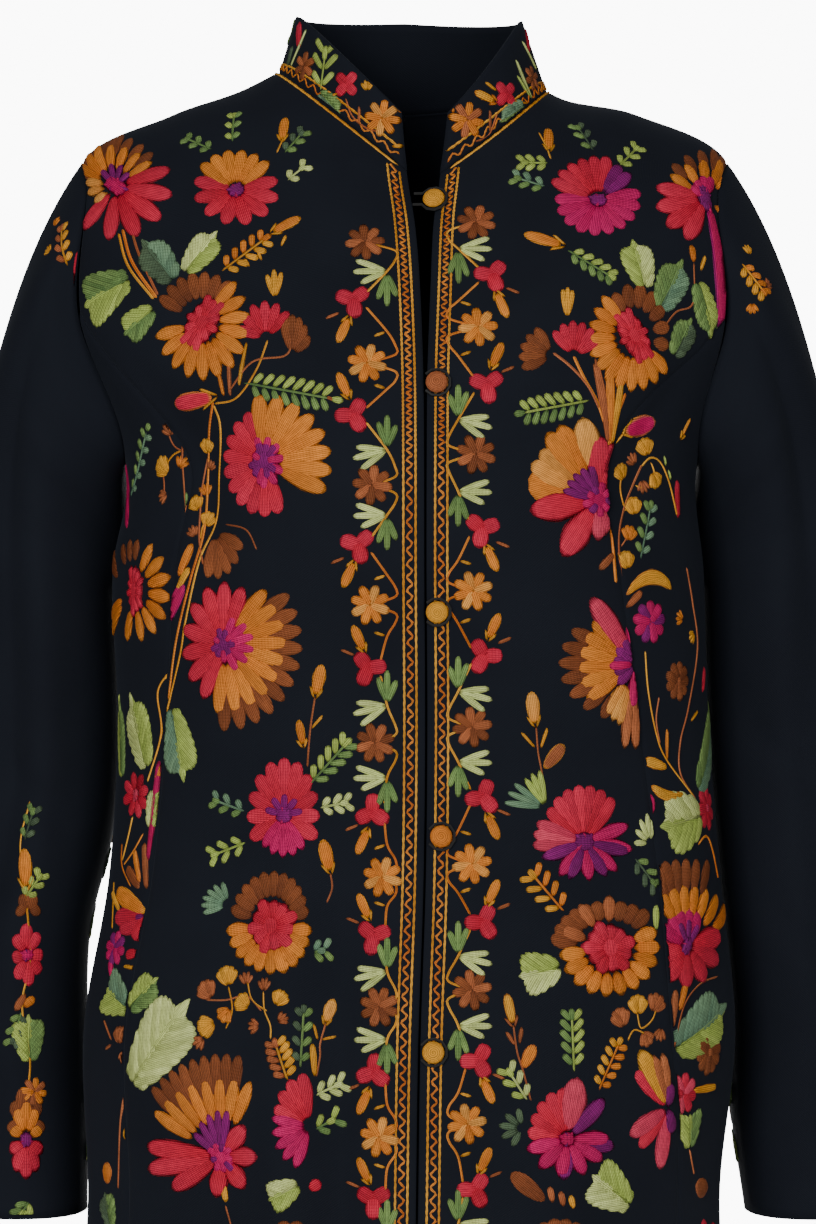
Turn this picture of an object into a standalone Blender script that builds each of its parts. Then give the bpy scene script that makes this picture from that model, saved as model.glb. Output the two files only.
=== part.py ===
"""Embroidered wool jacket with a stand collar, filled out as if worn and hollow inside.

Each cut piece is a wall of cloth of its own. All body pieces are read from one surface, so
neighbours share their seam lines. The sleeves start on the armhole line and the collar on the
neckline. Sizes are millimetres; the meshes are made in metres.

Frame: +X is the wearer's left, the front faces -Y, +Z is up. The origin is the middle of the
neck at the height of the shoulder seams' neck ends, where a wearer's neck would carry it.
"""
import math
from collections import namedtuple

import bpy
from mathutils import Vector

MM = 0.001
CLOTH = 2.0              # thickness of the wool with its stitching
SEAM_INSET = 0.25        # each piece stops this far short of its seam line
STEP = 0.5               # step for reading slopes off the surfaces, in mm or degrees
LONGEST_MITRE = 1.6      # a seam's inner edge is at most this many cloth thicknesses away
HALVINGS = 40            # steps of halving that find a height on the closing line

# Body rings from hem to neckline. up is the length of cloth above the hem, the depths run
# forward and back from the side seams, squareness is the superellipse power in plan, dip is
# how the ring falls from the side to the middle. slide moves both sides over, tilt lifts the
# wearer's right side and lowers the left, and shift moves the front closing.
Ring = namedtuple("Ring", "name up half_width front_depth back_depth front_z side_z back_z"
                          " squareness dip slide tilt shift half_gap")
BODY_RINGS = [
    Ring("hem",         0, 199, 152, 144, -790, -790, -790, 2.30, 2.0, -1, 0,  5.0, 0.6),
    Ring("low hip",   125, 187, 140, 134, -665, -665, -665, 2.30, 2.0, -1, 0,  7.0, 0.6),
    Ring("hip",       230, 194, 134, 130, -560, -560, -560, 2.30, 2.0,  3, 0,  8.5, 0.6),
    Ring("low waist", 320, 183, 124, 119, -470, -470, -470, 2.30, 2.0,  6, 0, 11.5, 0.6),
    Ring("waist",     410, 177, 119, 112, -380, -380, -380, 2.30, 2.0,  5, 0, 12.5, 0.6),
    Ring("bust",      500, 177, 124, 112, -290, -290, -290, 2.30, 2.0,  2, 0, 12.0, 0.6),
    Ring("underarm",  565, 171, 122, 110, -225, -225, -225, 2.30, 2.0,  4, 0, 12.0, 0.7),
    Ring("armhole",   660, 206, 113, 104, -172, -130, -142, 2.20, 2.0,  0, 0, 12.0, 1.2),
    Ring("arm top",   746, 194,  99,  88, -120,  -44,  -76, 1.75, 1.5,  0, 0, 12.0, 3.2),
    Ring("shoulder",  808, 139,  82,  76,  -88,  -15,  -40, 1.90, 1.3,  0, 0, 11.5, 5.2),
    Ring("neck base", 850,  99,  70,  66,  -69,   -4,  -20, 2.05, 1.2,  0, 3, 11.3, 8.2),
    Ring("neckline",  871,  80,  63,  60,  -60,    5,   -8, 2.10, 1.1,  5, 6, 11.2, 9.7),
]
UNDERARM_UP = BODY_RINGS[6].up
ARM_TOP_UP = BODY_RINGS[8].up
NECK_UP = BODY_RINGS[-1].up

# Collar band: its top edge, as a ring that leans in and forward over the neckline.
COLLAR_TOP = dict(half_width=67.5, front_depth=50, back_depth=56, centre_y=-14,
                  front_z=-31, side_z=41, back_z=45, squareness=2.1, dip=1.15,
                  slide=2.7, tilt=1.3, shift=12.0, half_gap=13.5)

# Armhole line on the body surface: how far it bites forward and back of the side, in
# degrees of turn, and the power that squares it off. The right front is the wider one.
LEFT_FRONT_BITE = 28.0
RIGHT_FRONT_BITE = 22.0
BACK_BITE = 33.0
ARMHOLE_SQUARE = 0.80
ARMHOLE_LEVEL = 0.52     # height of the bites between the underarm and the arm's top

# Princess seams, from the hem up to the front of each armhole, as degrees of turn.
Seam = namedtuple("Seam", "name up left_turn right_turn")
PRINCESS_SEAMS = [
    Seam("hem",         0, 55.0, 57.0),
    Seam("low hip",   150, 53.5, 57.0),
    Seam("hip",       230, 47.5, 57.0),
    Seam("low waist", 320, 46.5, 55.5),
    Seam("waist",     410, 43.5, 53.5),
    Seam("bust",      500, 39.0, 50.0),
    Seam("full bust", 565, 37.5, 49.0),
    Seam("below arm", 615, 44.5, 57.0),
]
SKIRT_ROW_EASE = 1.35    # rows of the mesh lie closer towards the armhole

# Sleeve sections below the cap, for the wearer's left; the right arm is mirrored. down is
# the length of cloth below the cap's seam and turn swings the back edge of the section in.
Section = namedtuple("Section", "name down z centre_x centre_y half_width half_depth turn"
                                " squareness")
CAP_END = 250
LEFT_SLEEVE = [
    Section("upper arm", 250, -300, 224.0, 26, 43.0, 58, 12, 2.4),
    Section("elbow",     350, -400, 228.0, 28, 43.0, 56, 12, 2.4),
    Section("forearm",   500, -550, 241.0, 31, 42.5, 52, 12, 2.5),
    Section("wrist",     560, -610, 241.0, 30, 42.0, 50, 11, 2.5),
    Section("cuff",      625, -675, 250.0, 26, 43.0, 48,  8, 2.5),
]
RIGHT_SLEEVE = [
    Section("upper arm", 250, -300, 220.0, 26, 43.0, 58, 12, 2.4),
    Section("elbow",     350, -400, 218.0, 28, 43.0, 56, 12, 2.4),
    Section("low elbow", 400, -450, 222.5, 29, 42.5, 55, 12, 2.5),
    Section("forearm",   460, -510, 236.0, 31, 42.5, 53, 12, 2.5),
    Section("wrist",     550, -600, 236.0, 32, 42.0, 50, 12, 2.5),
    Section("cuff",      625, -675, 236.5, 28, 43.0, 48,  8, 2.5),
]

# How the cap leaves the armhole and meets the upper arm, as Bezier handles at its four
# quarters. A handle is its direction times its length.
Handle = namedtuple("Handle", "name leave_x leave_y leave_z arrive")
CAP_HANDLES = {
    "top":      Handle("top",      45,   0, -62, 85),
    "front":    Handle("front",    42, -16, -30, 70),
    "underarm": Handle("underarm", 11,   4, -10, 34),
    "back":     Handle("back",     40,  17, -32, 70),
}

# Folds, each a soft ridge (height above 0) or trough (below 0) along a line that runs from
# one place on the cloth to another. turn is degrees round the piece, along is the length
# above the hem on the body and below the cap's seam on a sleeve.
Fold = namedtuple("Fold", "name turn along end_turn end_along width height")
BODY_FOLDS = [
    Fold("right front ridge",   -24, 400, -22,  -90, 13,  7.0),
    Fold("right front trough",  -14, 400, -13,  -90, 11, -6.0),
    Fold("left front ridge",     27, 380,  24,  -60, 18,  4.5),
    Fold("left front trough",    13, 330,  11,  -60, 14, -3.5),
    Fold("right side ridge",    -74, 330, -72,  -60, 20,  4.5),
    Fold("left side ridge",      72, 300,  76,  -60, 20,  4.0),
    Fold("right armhole drag",  -52, 640, -38,  470, 13, -3.5),
    Fold("left armhole drag",    50, 640,  40,  500, 13, -3.5),
    Fold("back left ridge",     148, 400, 146,  -60, 20,  6.0),
    Fold("back left trough",    164, 430, 163,  -60, 16, -2.5),
    Fold("back right ridge",   -158, 380,-156,  -60, 22,  5.5),
    Fold("back right trough",  -138, 420,-134,  -60, 18, -3.0),
    Fold("back waist crease",   130, 455, 218,  430, 16, -1.5),
]
LEFT_SLEEVE_FOLDS = [
    Fold("cap drag trough",     88, -60,  76, 330, 13, -7.0),
    Fold("front ridge",        110,  80, 104, 620, 13,  3.0),
    Fold("outer ridge",         50,  60,  46, 560, 16,  3.5),
    Fold("elbow crease",       140, 330,  50, 385, 11, -4.0),
    Fold("forearm crease",     130, 440,  40, 500, 11, -3.0),
    Fold("back drag",          300,  70, 285, 360, 16, -5.0),
    Fold("back elbow crease",  230, 400, 310, 350, 12, -4.0),
]
RIGHT_SLEEVE_FOLDS = [
    Fold("cap drag trough",     84, -60,  80, 560, 14, -7.0),
    Fold("front ridge",        112,  60, 108, 620, 13,  4.0),
    Fold("outer ridge",         48,  60,  44, 600, 16,  3.5),
    Fold("elbow crease",       140, 395,  50, 335, 11, -4.0),
    Fold("lower elbow crease", 120, 440,  20, 405, 11, -3.5),
    Fold("forearm crease",     110, 545,  10, 575, 11, -3.0),
    Fold("back drag",          292,  70, 280, 360, 16, -5.0),
    Fold("back elbow crease",  235, 370, 315, 420, 12, -4.0),
]
BODY_MM_PER_DEGREE = 3.0
SLEEVE_MM_PER_DEGREE = 0.9

# Mesh steps. Neighbours use the same counts along a shared seam.
SKIRT_ROWS = 20          # hem to the armhole, on princess and side seams
FRONT_ARMHOLE_ROWS = 10  # princess seam to the arm's top
BACK_ARMHOLE_ROWS = 14   # underarm to the arm's top, behind
SIDE_COLUMNS = 7         # princess seam to side seam
FRONT_COLUMNS = 9        # closing to princess seam, and along the shoulder seam
BACK_COLUMNS = FRONT_COLUMNS
FRONT_ROW_LEVEL = 690    # where the mesh row of the armhole's front meets the front edge
BACK_ROW_LEVEL = 535     # where the underarm's mesh row meets the middle of the back
FRONT_NECK_ROWS = 6
BACK_NECK_ROWS = 5
COLLAR_ROWS = 2
CAP_ROWS = 9
ARM_ROWS = 14

# Buttons on the wearer's left front, from the collar down: height and distance of the
# centre from the closing line.
Button = namedtuple("Button", "z beyond")
BUTTONS = [Button(-74, 6.0), Button(-181, 6.5), Button(-313, 6.5), Button(-442, 9.0),
           Button(-565, 8.0), Button(-689, 7.5)]
BUTTON_RADIUS = 6.4
BUTTON_HEIGHT = 5.2
BUTTON_SEAT = 0.3        # clearance under a button
BUTTON_RIM = 0.35        # height of its widest ring, as a share of the whole
BUTTON_SEGMENTS = 12
LOOP_THICKNESS = 1.8
LOOP_GAP = 0.6           # between a loop and its button, and a loop and the cloth
LOOP_END_GAP = 1.2       # between a loop's end and the edge that it is sewn to
LOOP_OPENING = 150       # the loop's arc runs to this angle each way from the far side
LOOP_STEPS = 9


def clear_scene():
    for thing in list(bpy.data.objects):
        bpy.data.objects.remove(thing, do_unlink=True)


def make_material(name, colour, roughness):
    material = bpy.data.materials.new(name)
    material.use_nodes = True
    shader = material.node_tree.nodes["Principled BSDF"]
    shader.inputs["Base Color"].default_value = (*colour, 1.0)
    shader.inputs["Roughness"].default_value = roughness
    shader.inputs["Metallic"].default_value = 0.0
    material.diffuse_color = (*colour, 1.0)
    return material


def read_table(table, place):
    """Read a table between its rows: a smooth curve through every column's values."""
    places = [row[1] for row in table]
    place = min(max(place, places[0]), places[-1])
    k = max(i for i in range(len(table) - 1) if places[i] <= place)
    low, high = table[k], table[k + 1]
    before, after = table[max(k - 1, 0)], table[min(k + 2, len(table) - 1)]
    span = high[1] - low[1]
    t = (place - low[1]) / span
    values = []
    for c in range(2, len(low)):
        low_slope = span * (high[c] - before[c]) / (high[1] - before[1])
        high_slope = span * (after[c] - low[c]) / (after[1] - low[1])
        values.append((2 * t**3 - 3 * t**2 + 1) * low[c] + (t**3 - 2 * t**2 + t) * low_slope
                      + (3 * t**2 - 2 * t**3) * high[c] + (t**3 - t**2) * high_slope)
    return values


def fold_height(folds, turn, along, mm_per_degree):
    """Sum of the folds' ridges and troughs at one place on a piece of cloth."""
    total = 0.0
    for fold in folds:
        off_turn = (turn - fold.turn + 180) % 360 - 180
        run = ((fold.end_turn - fold.turn) * mm_per_degree, fold.end_along - fold.along)
        offset = (off_turn * mm_per_degree, along - fold.along)
        length = math.hypot(*run)
        share = (offset[0] * run[0] + offset[1] * run[1]) / length**2
        if 0 < share < 1:
            aside = (offset[0] * run[1] - offset[1] * run[0]) / length
            taper = math.sin(math.pi * share) ** 0.7
            total += fold.height * taper * math.exp(-(aside / fold.width) ** 2)
    return total


def superellipse(turn, squareness):
    """Unit superellipse in plan: across to the side, along to the front (turn 0)."""
    s, c = math.sin(math.radians(turn)), math.cos(math.radians(turn))
    reach = (abs(s) ** squareness + abs(c) ** squareness) ** (-1 / squareness)
    return reach * s, reach * c


def ring_point(turn, half_width, front_depth, back_depth, front_z, side_z, back_z,
               squareness, dip, slide, tilt, shift, centre_y=0.0):
    across, along = superellipse(turn, squareness)
    depth, end_z = (front_depth, front_z) if along >= 0 else (back_depth, back_z)
    fall = 1 - abs(across) ** dip
    return Vector((half_width * across + slide * across**2 + shift * max(along, 0.0) ** 2,
                   centre_y - depth * along,
                   side_z - tilt * across + (end_z - side_z) * fall))


def body_point(turn, up):
    """A place on the body's outside: turn in degrees from the closing, up from the hem."""
    *shape, _half_gap = read_table(BODY_RINGS, up)
    point = ring_point(turn, *shape)
    across, along = superellipse(turn, 2.0)
    lift = fold_height(BODY_FOLDS, turn, up, BODY_MM_PER_DEGREE)
    return point + Vector((across, -along, 0)) * lift


def slope_normal(surface, a, b, b_low, b_high):
    """Outward normal of surface(a, b), from small steps that stay inside b's range."""
    low, high = max(b - STEP, b_low), min(b + STEP, b_high)
    run_a = surface(a + STEP, b) - surface(a - STEP, b)
    run_b = surface(a, high) - surface(a, low)
    return run_a.cross(run_b).normalized()


def body_normal(turn, up):
    return slope_normal(body_point, turn, up, 0, NECK_UP)


def closing_turn(up):
    """Degrees between the closing line and each front edge."""
    half_width, *_shape, half_gap = read_table(BODY_RINGS, up)
    return math.degrees(half_gap / half_width)


def armhole_place(angle, side):
    """Armhole line: angle 0 is the arm's top, 90 the front, 180 the underarm, 270 the back."""
    s, c = math.sin(math.radians(angle)), math.cos(math.radians(angle))
    front_bite = LEFT_FRONT_BITE if side > 0 else RIGHT_FRONT_BITE
    bite = front_bite if s >= 0 else BACK_BITE
    turn = 90 - math.copysign(bite * abs(s) ** ARMHOLE_SQUARE, s)
    middle = UNDERARM_UP + (ARM_TOP_UP - UNDERARM_UP) * ARMHOLE_LEVEL
    end = ARM_TOP_UP if c >= 0 else UNDERARM_UP
    return side * turn, middle + (end - middle) * abs(c) ** ARMHOLE_SQUARE


def sleeve_ring(angle, side, down):
    """A place on the sleeve's tube below the cap."""
    sections = LEFT_SLEEVE if side > 0 else RIGHT_SLEEVE
    z, x, y, half_width, half_depth, swing, squareness = read_table(sections, down)
    deep, wide = superellipse(angle, squareness)
    local = (half_width * wide, -half_depth * deep)
    s, c = math.sin(math.radians(swing)), math.cos(math.radians(swing))
    return Vector((side * (x + local[0] * c - local[1] * s), y + local[0] * s + local[1] * c, z))


def cap_handles(angle, side):
    """Bezier handles of the cap at one angle, blended between its four quarters."""
    s, c = math.sin(math.radians(angle)), math.cos(math.radians(angle))
    first = CAP_HANDLES["top" if c >= 0 else "underarm"]
    second = CAP_HANDLES["front" if s >= 0 else "back"]
    x, y, z, arrive = (c * c * a + s * s * b for a, b in zip(first[1:], second[1:]))
    return Vector((side * x, y, z)), arrive


def sleeve_smooth(angle, down, side):
    if down >= CAP_END:
        return sleeve_ring(angle, side, down)
    start = body_point(*armhole_place(angle, side))
    end = sleeve_ring(angle, side, CAP_END)
    leave, arrive = cap_handles(angle, side)
    hang = (sleeve_ring(angle, side, CAP_END + 10 * STEP) - end).normalized()
    t = down / CAP_END
    return ((1 - t) ** 3 * start + 3 * (1 - t) ** 2 * t * (start + leave)
            + 3 * (1 - t) * t**2 * (end - hang * arrive) + t**3 * end)


def sleeve_point(angle, down, side):
    """A place on the sleeve's outside: angle round the arm, down from the cap's seam."""
    folds = LEFT_SLEEVE_FOLDS if side > 0 else RIGHT_SLEEVE_FOLDS
    point = sleeve_smooth(angle, down, side)
    lift = fold_height(folds, angle, down, SLEEVE_MM_PER_DEGREE)
    if abs(lift) < 0.01:
        return point
    normal = slope_normal(lambda a, b: sleeve_smooth(a, b, side), angle, down, 0,
                          LEFT_SLEEVE[-1].down)
    return point + normal * lift * side


def sleeve_normal(angle, down, side):
    normal = slope_normal(lambda a, b: sleeve_point(a, b, side), angle, down, 0,
                          LEFT_SLEEVE[-1].down)
    return normal * side


def collar_point(turn, height):
    """A place on the collar's outside: height 0 is the neckline and 1 the top edge."""
    shape = {key: value for key, value in COLLAR_TOP.items() if key != "half_gap"}
    return body_point(turn, NECK_UP).lerp(ring_point(turn, **shape), height)


def collar_normal(turn, height):
    return slope_normal(lambda a, b: collar_point(a, b / 100), turn, height * 100, 0, 100)


def inward(normal):
    return -normal * CLOTH


def mitred(first, second):
    """Inward step at a seam where two pieces meet at an angle, shared by both."""
    middle = (first + second).normalized()
    return -middle * min(CLOTH / max(middle.dot(first), 0.1), CLOTH * LONGEST_MITRE)


def armhole_inward(angle, side):
    return mitred(body_normal(*armhole_place(angle, side)), sleeve_normal(angle, 0, side))


def neckline_inward(turn):
    return mitred(body_normal(turn, NECK_UP), collar_normal(turn, 0))


def step_towards(start, target):
    return (target - start).normalized() * SEAM_INSET


def build_wall(name, grid, material):
    """Turn a grid of (outside point, inward step) into one closed wall of cloth."""
    index, outside, inside, quads = {}, [], [], []
    for row in grid:
        for point, step in row:
            key = tuple(round(value, 3) for value in point)
            if key not in index:
                index[key] = len(outside)
                outside.append(point)
                inside.append(point + step)
    keys = [[index[tuple(round(value, 3) for value in point)] for point, _ in row]
            for row in grid]
    for lower, upper in zip(keys, keys[1:]):
        quads += list(zip(lower, lower[1:], upper[1:], upper))
    uses = {}
    for quad in quads:
        for a, b in zip(quad, quad[1:] + quad[:1]):
            uses[frozenset((a, b))] = uses.get(frozenset((a, b)), 0) + 1
    count = len(outside)
    faces = list(quads) + [tuple(count + v for v in reversed(quad)) for quad in quads]
    for quad in quads:
        for a, b in zip(quad, quad[1:] + quad[:1]):
            if uses[frozenset((a, b))] > 1:
                continue
            # The same diagonal on both sides of a seam keeps the two walls apart.
            if outside[a].z < outside[b].z:
                faces += [(b, a, count + b), (a, count + a, count + b)]
            else:
                faces += [(b, a, count + a), (b, count + a, count + b)]
    mesh = bpy.data.meshes.new(name)
    mesh.from_pydata([point * MM for point in outside + inside], [], faces)
    finish_mesh(name, mesh, material)


def finish_mesh(name, mesh, material):
    mesh.validate()
    mesh.materials.append(material)
    mesh.shade_smooth()
    mesh.set_sharp_from_angle(angle=math.radians(50))
    piece = bpy.data.objects.new(name, mesh)
    bpy.context.scene.collection.objects.link(piece)


def between(first, second, share):
    return tuple(a + (b - a) * share for a, b in zip(first, second))


def panel_places(left, right, columns, top=None):
    """Places on the body between two seam lines, row by row up to the line across the top."""
    straight = [between(left[-1], right[-1], j / columns) for j in range(columns + 1)]
    rows = []
    for i, (start, end) in enumerate(zip(left, right)):
        row = [between(start, end, j / columns) for j in range(columns + 1)]
        if top:
            fade = (i / (len(left) - 1)) ** 3
            row = [tuple(p + (t - s) * fade for p, t, s in zip(*three))
                   for three in zip(row, top, straight)]
        rows.append(row)
    return rows


def panel_cells(rows, handed):
    """Outside point and inward step at every place, with the edges drawn in from the seams.

    handed is 1 where columns run to the right as seen from outside, and -1 where they run
    to the left.
    """
    cells = [[[body_point(*place), inward(body_normal(*place))] for place in row]
             for row in rows]
    last, end = len(rows) - 1, len(rows[0]) - 1
    loop = [(0, j) for j in range(end)] + [(i, end) for i in range(last)]
    loop += [(last, j) for j in range(end, 0, -1)] + [(i, 0) for i in range(last, 0, -1)]
    points = [cells[i][j][0].copy() for i, j in loop]
    for k, (i, j) in enumerate(loop):
        normal = body_normal(*rows[i][j])
        arrive = normal.cross(points[k] - points[k - 1]).normalized()
        leave = normal.cross(points[(k + 1) % len(loop)] - points[k]).normalized()
        middle = (arrive + leave).normalized()
        reach = min(1 / max(middle.dot(leave), 0.1), LONGEST_MITRE)
        cells[i][j][0] = points[k] + middle * handed * SEAM_INSET * reach
    return cells


def oriented(grid, side):
    """Turn a mirrored grid's rows round, so that its faces point outwards."""
    return grid if side > 0 else [list(reversed(row)) for row in grid]


def skirt_ups(top):
    """Heights of the mesh rows from the hem to the armhole, closer together near its end."""
    return [top * (1 - (1 - i / SKIRT_ROWS) ** SKIRT_ROW_EASE) for i in range(SKIRT_ROWS + 1)]


def princess_line(side):
    """Places up the princess seam, from the hem to the front of the armhole."""
    end_turn, end_up = armhole_place(90, side)
    seam = PRINCESS_SEAMS + [Seam("armhole", end_up, abs(end_turn), abs(end_turn))]
    column = 0 if side > 0 else 1
    return [(side * read_table(seam, up)[column], up) for up in skirt_ups(end_up)]


def side_line(side):
    return [(side * 90, up) for up in skirt_ups(UNDERARM_UP)]


def middle_ups(rows, level):
    """Heights up the front edge or the middle of the back, one for each mesh row below the
    neckline; the row at the armhole starts from the given level."""
    upper = rows - SKIRT_ROWS
    lower = skirt_ups(level)
    return lower + [level + (NECK_UP - level) * (i + 1) / upper for i in range(upper)]


def front_neck_turns(side):
    """Turns along the front neckline, from the front edge to the shoulder seam."""
    first = closing_turn(NECK_UP)
    return [side * (first + (90 - first) * i / FRONT_NECK_ROWS)
            for i in range(FRONT_NECK_ROWS + 1)]


def back_neck_turns(side):
    return [side * (180 - 90 * i / BACK_NECK_ROWS) for i in range(BACK_NECK_ROWS + 1)]


def build_front(name, side, material):
    """Front panel: closing and neckline on one side, princess seam and armhole on the other."""
    angles = [90 - 90 * i / FRONT_ARMHOLE_ROWS for i in range(FRONT_ARMHOLE_ROWS + 1)]
    right = princess_line(side)[:-1] + [armhole_place(angle, side) for angle in angles]
    edge_rows = len(right) - 1 - FRONT_NECK_ROWS
    turns = front_neck_turns(side)
    left = [(side * closing_turn(up), up) for up in middle_ups(edge_rows, FRONT_ROW_LEVEL)]
    left += [(turn, NECK_UP) for turn in turns[1:]]
    cells = panel_cells(panel_places(left, right, FRONT_COLUMNS), side)
    for cell_row, turn in zip(cells[edge_rows:], turns):
        cell_row[0][1] = neckline_inward(turn)
    for cell_row, angle in zip(cells[SKIRT_ROWS:], angles):
        cell_row[-1][1] = armhole_inward(angle, side)
    build_wall(name, oriented(cells, side), material)


def build_side_front(name, side, material):
    """Side panel, from the princess seam to the side seam, under the armhole's front."""
    angles = [90 + 90 * j / SIDE_COLUMNS for j in range(SIDE_COLUMNS + 1)]
    top = [armhole_place(angle, side) for angle in angles]
    cells = panel_cells(panel_places(princess_line(side), side_line(side), SIDE_COLUMNS, top),
                        side)
    for cell, angle in zip(cells[-1], angles):
        cell[1] = armhole_inward(angle, side)
    build_wall(name, oriented(cells, side), material)


def build_back(name, side, material):
    """Half of the back, from the seam down its middle to the side seam."""
    angles = [180 + 180 * i / BACK_ARMHOLE_ROWS for i in range(BACK_ARMHOLE_ROWS + 1)]
    right = side_line(side)[:-1] + [armhole_place(angle, side) for angle in angles]
    middle_rows = len(right) - 1 - BACK_NECK_ROWS
    turns = back_neck_turns(side)
    left = [(side * 180, up) for up in middle_ups(middle_rows, BACK_ROW_LEVEL)]
    left += [(turn, NECK_UP) for turn in turns[1:]]
    cells = panel_cells(panel_places(left, right, BACK_COLUMNS), -side)
    for cell_row, turn in zip(cells[middle_rows:], turns):
        cell_row[0][1] = neckline_inward(turn)
    for cell_row, angle in zip(cells[SKIRT_ROWS:], angles):
        cell_row[-1][1] = armhole_inward(angle, side)
    build_wall(name, oriented(cells, -side), material)


def build_sleeve(name, side, material):
    """Sleeve: a tube from the armhole to the cuff, closed on itself at the underarm seam."""
    angles = [90 * i / FRONT_ARMHOLE_ROWS for i in range(FRONT_ARMHOLE_ROWS)]
    angles += [90 + 90 * i / SIDE_COLUMNS for i in range(SIDE_COLUMNS)]
    angles += [180 + 180 * i / BACK_ARMHOLE_ROWS for i in range(BACK_ARMHOLE_ROWS + 1)]
    downs = [CAP_END * i / CAP_ROWS for i in range(CAP_ROWS)]
    cuff = LEFT_SLEEVE[-1].down
    downs += [CAP_END + (cuff - CAP_END) * i / ARM_ROWS for i in range(ARM_ROWS + 1)]
    grid = []
    for down in downs:
        grid.append([[sleeve_point(angle % 360, down, side),
                      inward(sleeve_normal(angle % 360, down, side))] for angle in angles])
    for cell, below, angle in zip(grid[0], grid[1], angles):
        cell[1] = armhole_inward(angle % 360, side)
        cell[0] = cell[0] + step_towards(cell[0], below[0])
    build_wall(name, oriented(grid, side), material)


def build_collar(name, material):
    """Stand collar: a band round the neckline, open at the front."""
    left = front_neck_turns(1) + back_neck_turns(1)[-2::-1]
    right = back_neck_turns(-1)[1:] + front_neck_turns(-1)[-2::-1]
    turns = left + [turn % 360 for turn in right]
    first_edge = math.degrees(math.asin(COLLAR_TOP["half_gap"] / COLLAR_TOP["half_width"]))
    low = turns[0]
    grid = []
    for i in range(COLLAR_ROWS + 1):
        height = i / COLLAR_ROWS
        row = []
        for turn in turns:
            open_by = (first_edge - low) * height * abs(180 - turn) / (180 - low)
            place = turn + math.copysign(open_by, 180 - turn)
            step = inward(collar_normal(place, height))
            if i == 0:
                step = neckline_inward(place if place < 180 else place - 360)
            row.append([collar_point(place, height), step])
        grid.append(row)
    for cell, above in zip(grid[0], grid[1]):
        cell[0] = cell[0] + step_towards(cell[0], above[0])
    build_wall(name, grid, material)


def button_frame(button):
    """Centre of a button's seat on the wearer's left front, with the axes that it lies on."""
    low, high = 0.0, NECK_UP
    for _ in range(HALVINGS):
        middle = (low + high) / 2
        low, high = (middle, high) if body_point(0, middle).z < button.z else (low, middle)
    half_width, *_shape, half_gap = read_table(BODY_RINGS, low)
    turn = math.degrees(button.beyond / half_width)
    normal = body_normal(turn, low)
    across = Vector((0, 0, 1)).cross(normal).normalized()
    return body_point(turn, low), across, normal.cross(across), normal, half_gap


def build_button(name, button, material):
    """Covered button: a turned dome, standing just clear of the front."""
    centre, across, upward, normal, _half_gap = button_frame(button)
    profile = [(BUTTON_RADIUS * 0.8, 0.0), (BUTTON_RADIUS, BUTTON_HEIGHT * BUTTON_RIM)]
    profile += [(BUTTON_RADIUS * math.cos(math.radians(a)),
                 BUTTON_HEIGHT * (BUTTON_RIM + (1 - BUTTON_RIM) * math.sin(math.radians(a))))
                for a in (35, 65)]
    points, rings = [], []
    for radius, height in profile:
        ring = []
        for k in range(BUTTON_SEGMENTS):
            angle = 2 * math.pi * k / BUTTON_SEGMENTS
            flat = across * math.cos(angle) * radius + upward * math.sin(angle) * radius
            ring.append(len(points))
            points.append((centre + flat + normal * (BUTTON_SEAT + height)) * MM)
        rings.append(ring)
    bottom, top = len(points), len(points) + 1
    points.append((centre + normal * BUTTON_SEAT) * MM)
    points.append((centre + normal * (BUTTON_SEAT + BUTTON_HEIGHT)) * MM)
    faces = []
    for k in range(BUTTON_SEGMENTS):
        after = (k + 1) % BUTTON_SEGMENTS
        faces.append((bottom, rings[0][after], rings[0][k]))
        for lower, upper in zip(rings, rings[1:]):
            faces.append((lower[k], lower[after], upper[after], upper[k]))
        faces.append((rings[-1][k], rings[-1][after], top))
    mesh = bpy.data.meshes.new(name)
    mesh.from_pydata(points, [], faces)
    finish_mesh(name, mesh, material)


def build_loop(name, button, material):
    """Cord loop: out of the wearer's right edge, round the button and back."""
    centre, across, upward, normal, half_gap = button_frame(button)
    radius = BUTTON_RADIUS + LOOP_GAP + LOOP_THICKNESS / 2
    reach = button.beyond + half_gap - LOOP_END_GAP
    opening = min(LOOP_OPENING, 180 - math.degrees(math.acos(min(reach / radius, 1.0))))
    angles = [math.radians(opening * (1 - 2 * k / LOOP_STEPS)) for k in range(LOOP_STEPS + 1)]
    route = [(radius * math.cos(angle), radius * math.sin(angle)) for angle in angles]
    if reach + route[0][0] > LOOP_THICKNESS:
        route = [(-reach, route[0][1])] + route + [(-reach, route[-1][1])]
    curve = bpy.data.curves.new(name, "CURVE")
    curve.dimensions = "3D"
    curve.bevel_depth = LOOP_THICKNESS / 2 * MM
    curve.bevel_resolution = 1
    curve.use_fill_caps = True
    spline = curve.splines.new("POLY")
    spline.points.add(len(route) - 1)
    for dot, (x, y) in zip(spline.points, route):
        place = centre + across * x + upward * y + normal * (LOOP_GAP + LOOP_THICKNESS / 2)
        dot.co = (*(place * MM), 1.0)
    curve.materials.append(material)
    loop = bpy.data.objects.new(name, curve)
    bpy.context.scene.collection.objects.link(loop)


def main():
    clear_scene()
    wool = make_material("black wool", (0.009, 0.011, 0.018), 0.92)
    gold = make_material("gold thread", (0.66, 0.32, 0.07), 0.60)
    cord = make_material("black cord", (0.006, 0.006, 0.009), 0.70)
    build_front("front_left", 1, wool)
    build_front("front_right", -1, wool)
    build_side_front("side_front_left", 1, wool)
    build_side_front("side_front_right", -1, wool)
    build_back("back_left", 1, wool)
    build_back("back_right", -1, wool)
    build_sleeve("sleeve_left", 1, wool)
    build_sleeve("sleeve_right", -1, wool)
    build_collar("collar", wool)
    for number, button in enumerate(BUTTONS, start=1):
        build_button(f"button_{number}", button, gold)
        build_loop(f"loop_{number}", button, cord)


main()
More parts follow.
